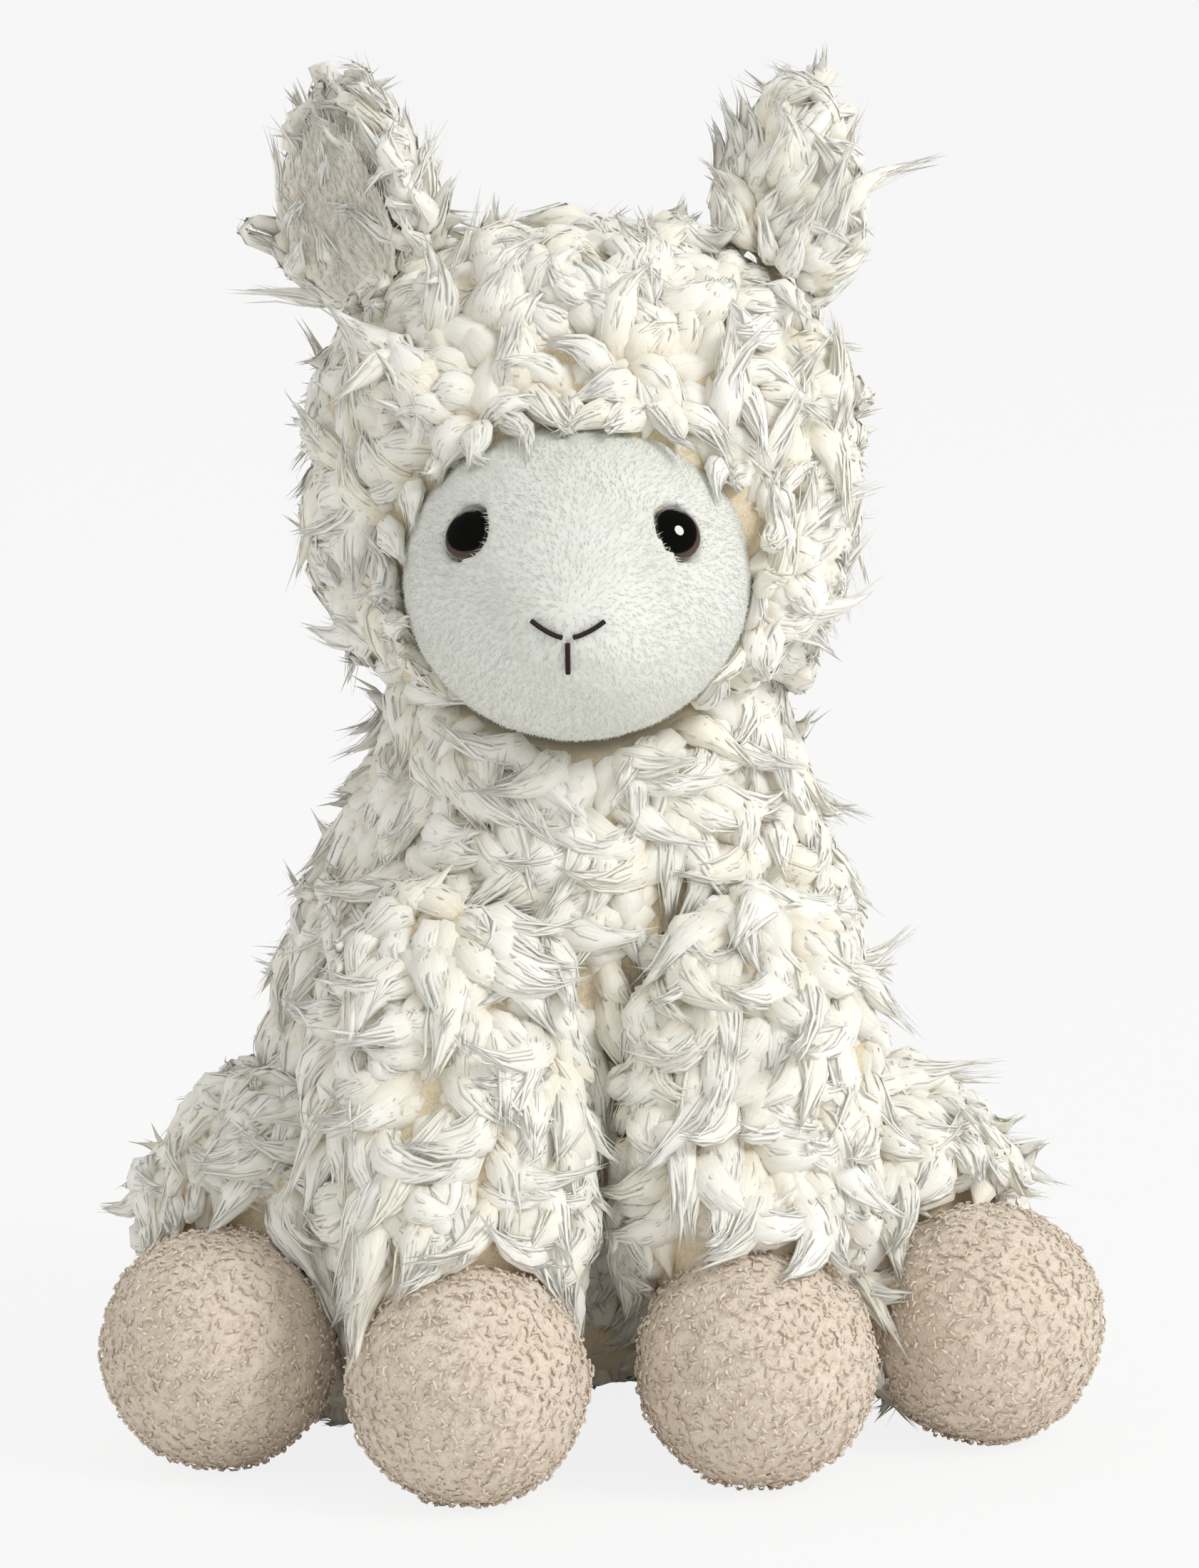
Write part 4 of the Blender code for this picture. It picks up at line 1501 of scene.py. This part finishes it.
class LLAMA_OT_seat(bpy.types.Operator):
    """Seat panel of short pile"""

    bl_idname = "llama.seat"
    bl_label = "Seat panel"

    def execute(self, context):
        dress_in_pile(
            "seat_panel",
            "seat_pile",
            SEEDS["seat"],
            comb_seat,
            ("torso", *LEGS),
            shape=(0.6 * MM, 1.8 * MM, 4),
            tufts=(2.0 * MM, 2.6 * MM, 0.6, 0.18 * MM),
            material="seat",
        )
        return {"FINISHED"}


class LLAMA_OT_tail(bpy.types.Operator):
    """Short tail of curly plush"""

    bl_idname = "llama.tail"
    bl_label = "Tail"

    def execute(self, context):
        coat = base_coat(context.scene.llama_plush, sunk=5 * MM)
        covered = ("torso", "seat_panel")
        dress("tail", SEEDS["tail"], comb_tail, coat, covered, (), 4 * MM)
        return {"FINISHED"}


OPERATORS = (
    LLAMA_OT_stage,
    LLAMA_OT_torso,
    LLAMA_OT_head,
    LLAMA_OT_legs,
    LLAMA_OT_ears,
    LLAMA_OT_face,
    LLAMA_OT_eyes,
    LLAMA_OT_stitches,
    LLAMA_OT_feet,
    LLAMA_OT_seat,
    LLAMA_OT_tail,
)
GROUPS = {
    "llama_plush": PlushSettings,
    "llama_pile": PileSettings,
    "llama_boucle": BoucleSettings,
    "llama_stage": StageSettings,
}


class LLAMA_PT_panel(bpy.types.Panel):
    """Settings and pieces of the plush llama"""

    bl_label = "Plush llama"
    bl_idname = "LLAMA_PT_panel"
    bl_space_type = "VIEW_3D"
    bl_region_type = "UI"
    bl_category = "Plush llama"

    def draw(self, context):
        for key, group in GROUPS.items():
            box = self.layout.box()
            for name in group.__annotations__:
                box.prop(getattr(context.scene, key), name)
        for operator in OPERATORS:
            self.layout.operator(operator.bl_idname)


def register():
    for item in (*GROUPS.values(), *OPERATORS, LLAMA_PT_panel):
        bpy.utils.register_class(item)
    for key, group in GROUPS.items():
        setattr(bpy.types.Scene, key, PointerProperty(type=group))


def unregister():
    for key in GROUPS:
        delattr(bpy.types.Scene, key)
    for item in reversed((*GROUPS.values(), *OPERATORS, LLAMA_PT_panel)):
        bpy.utils.unregister_class(item)


def main():
    noise.seed_set(NOISE_SEED)
    register()
    for operator in OPERATORS:
        group, name = operator.bl_idname.split(".")
        getattr(getattr(bpy.ops, group), name)()


if __name__ == "__main__":
    main()
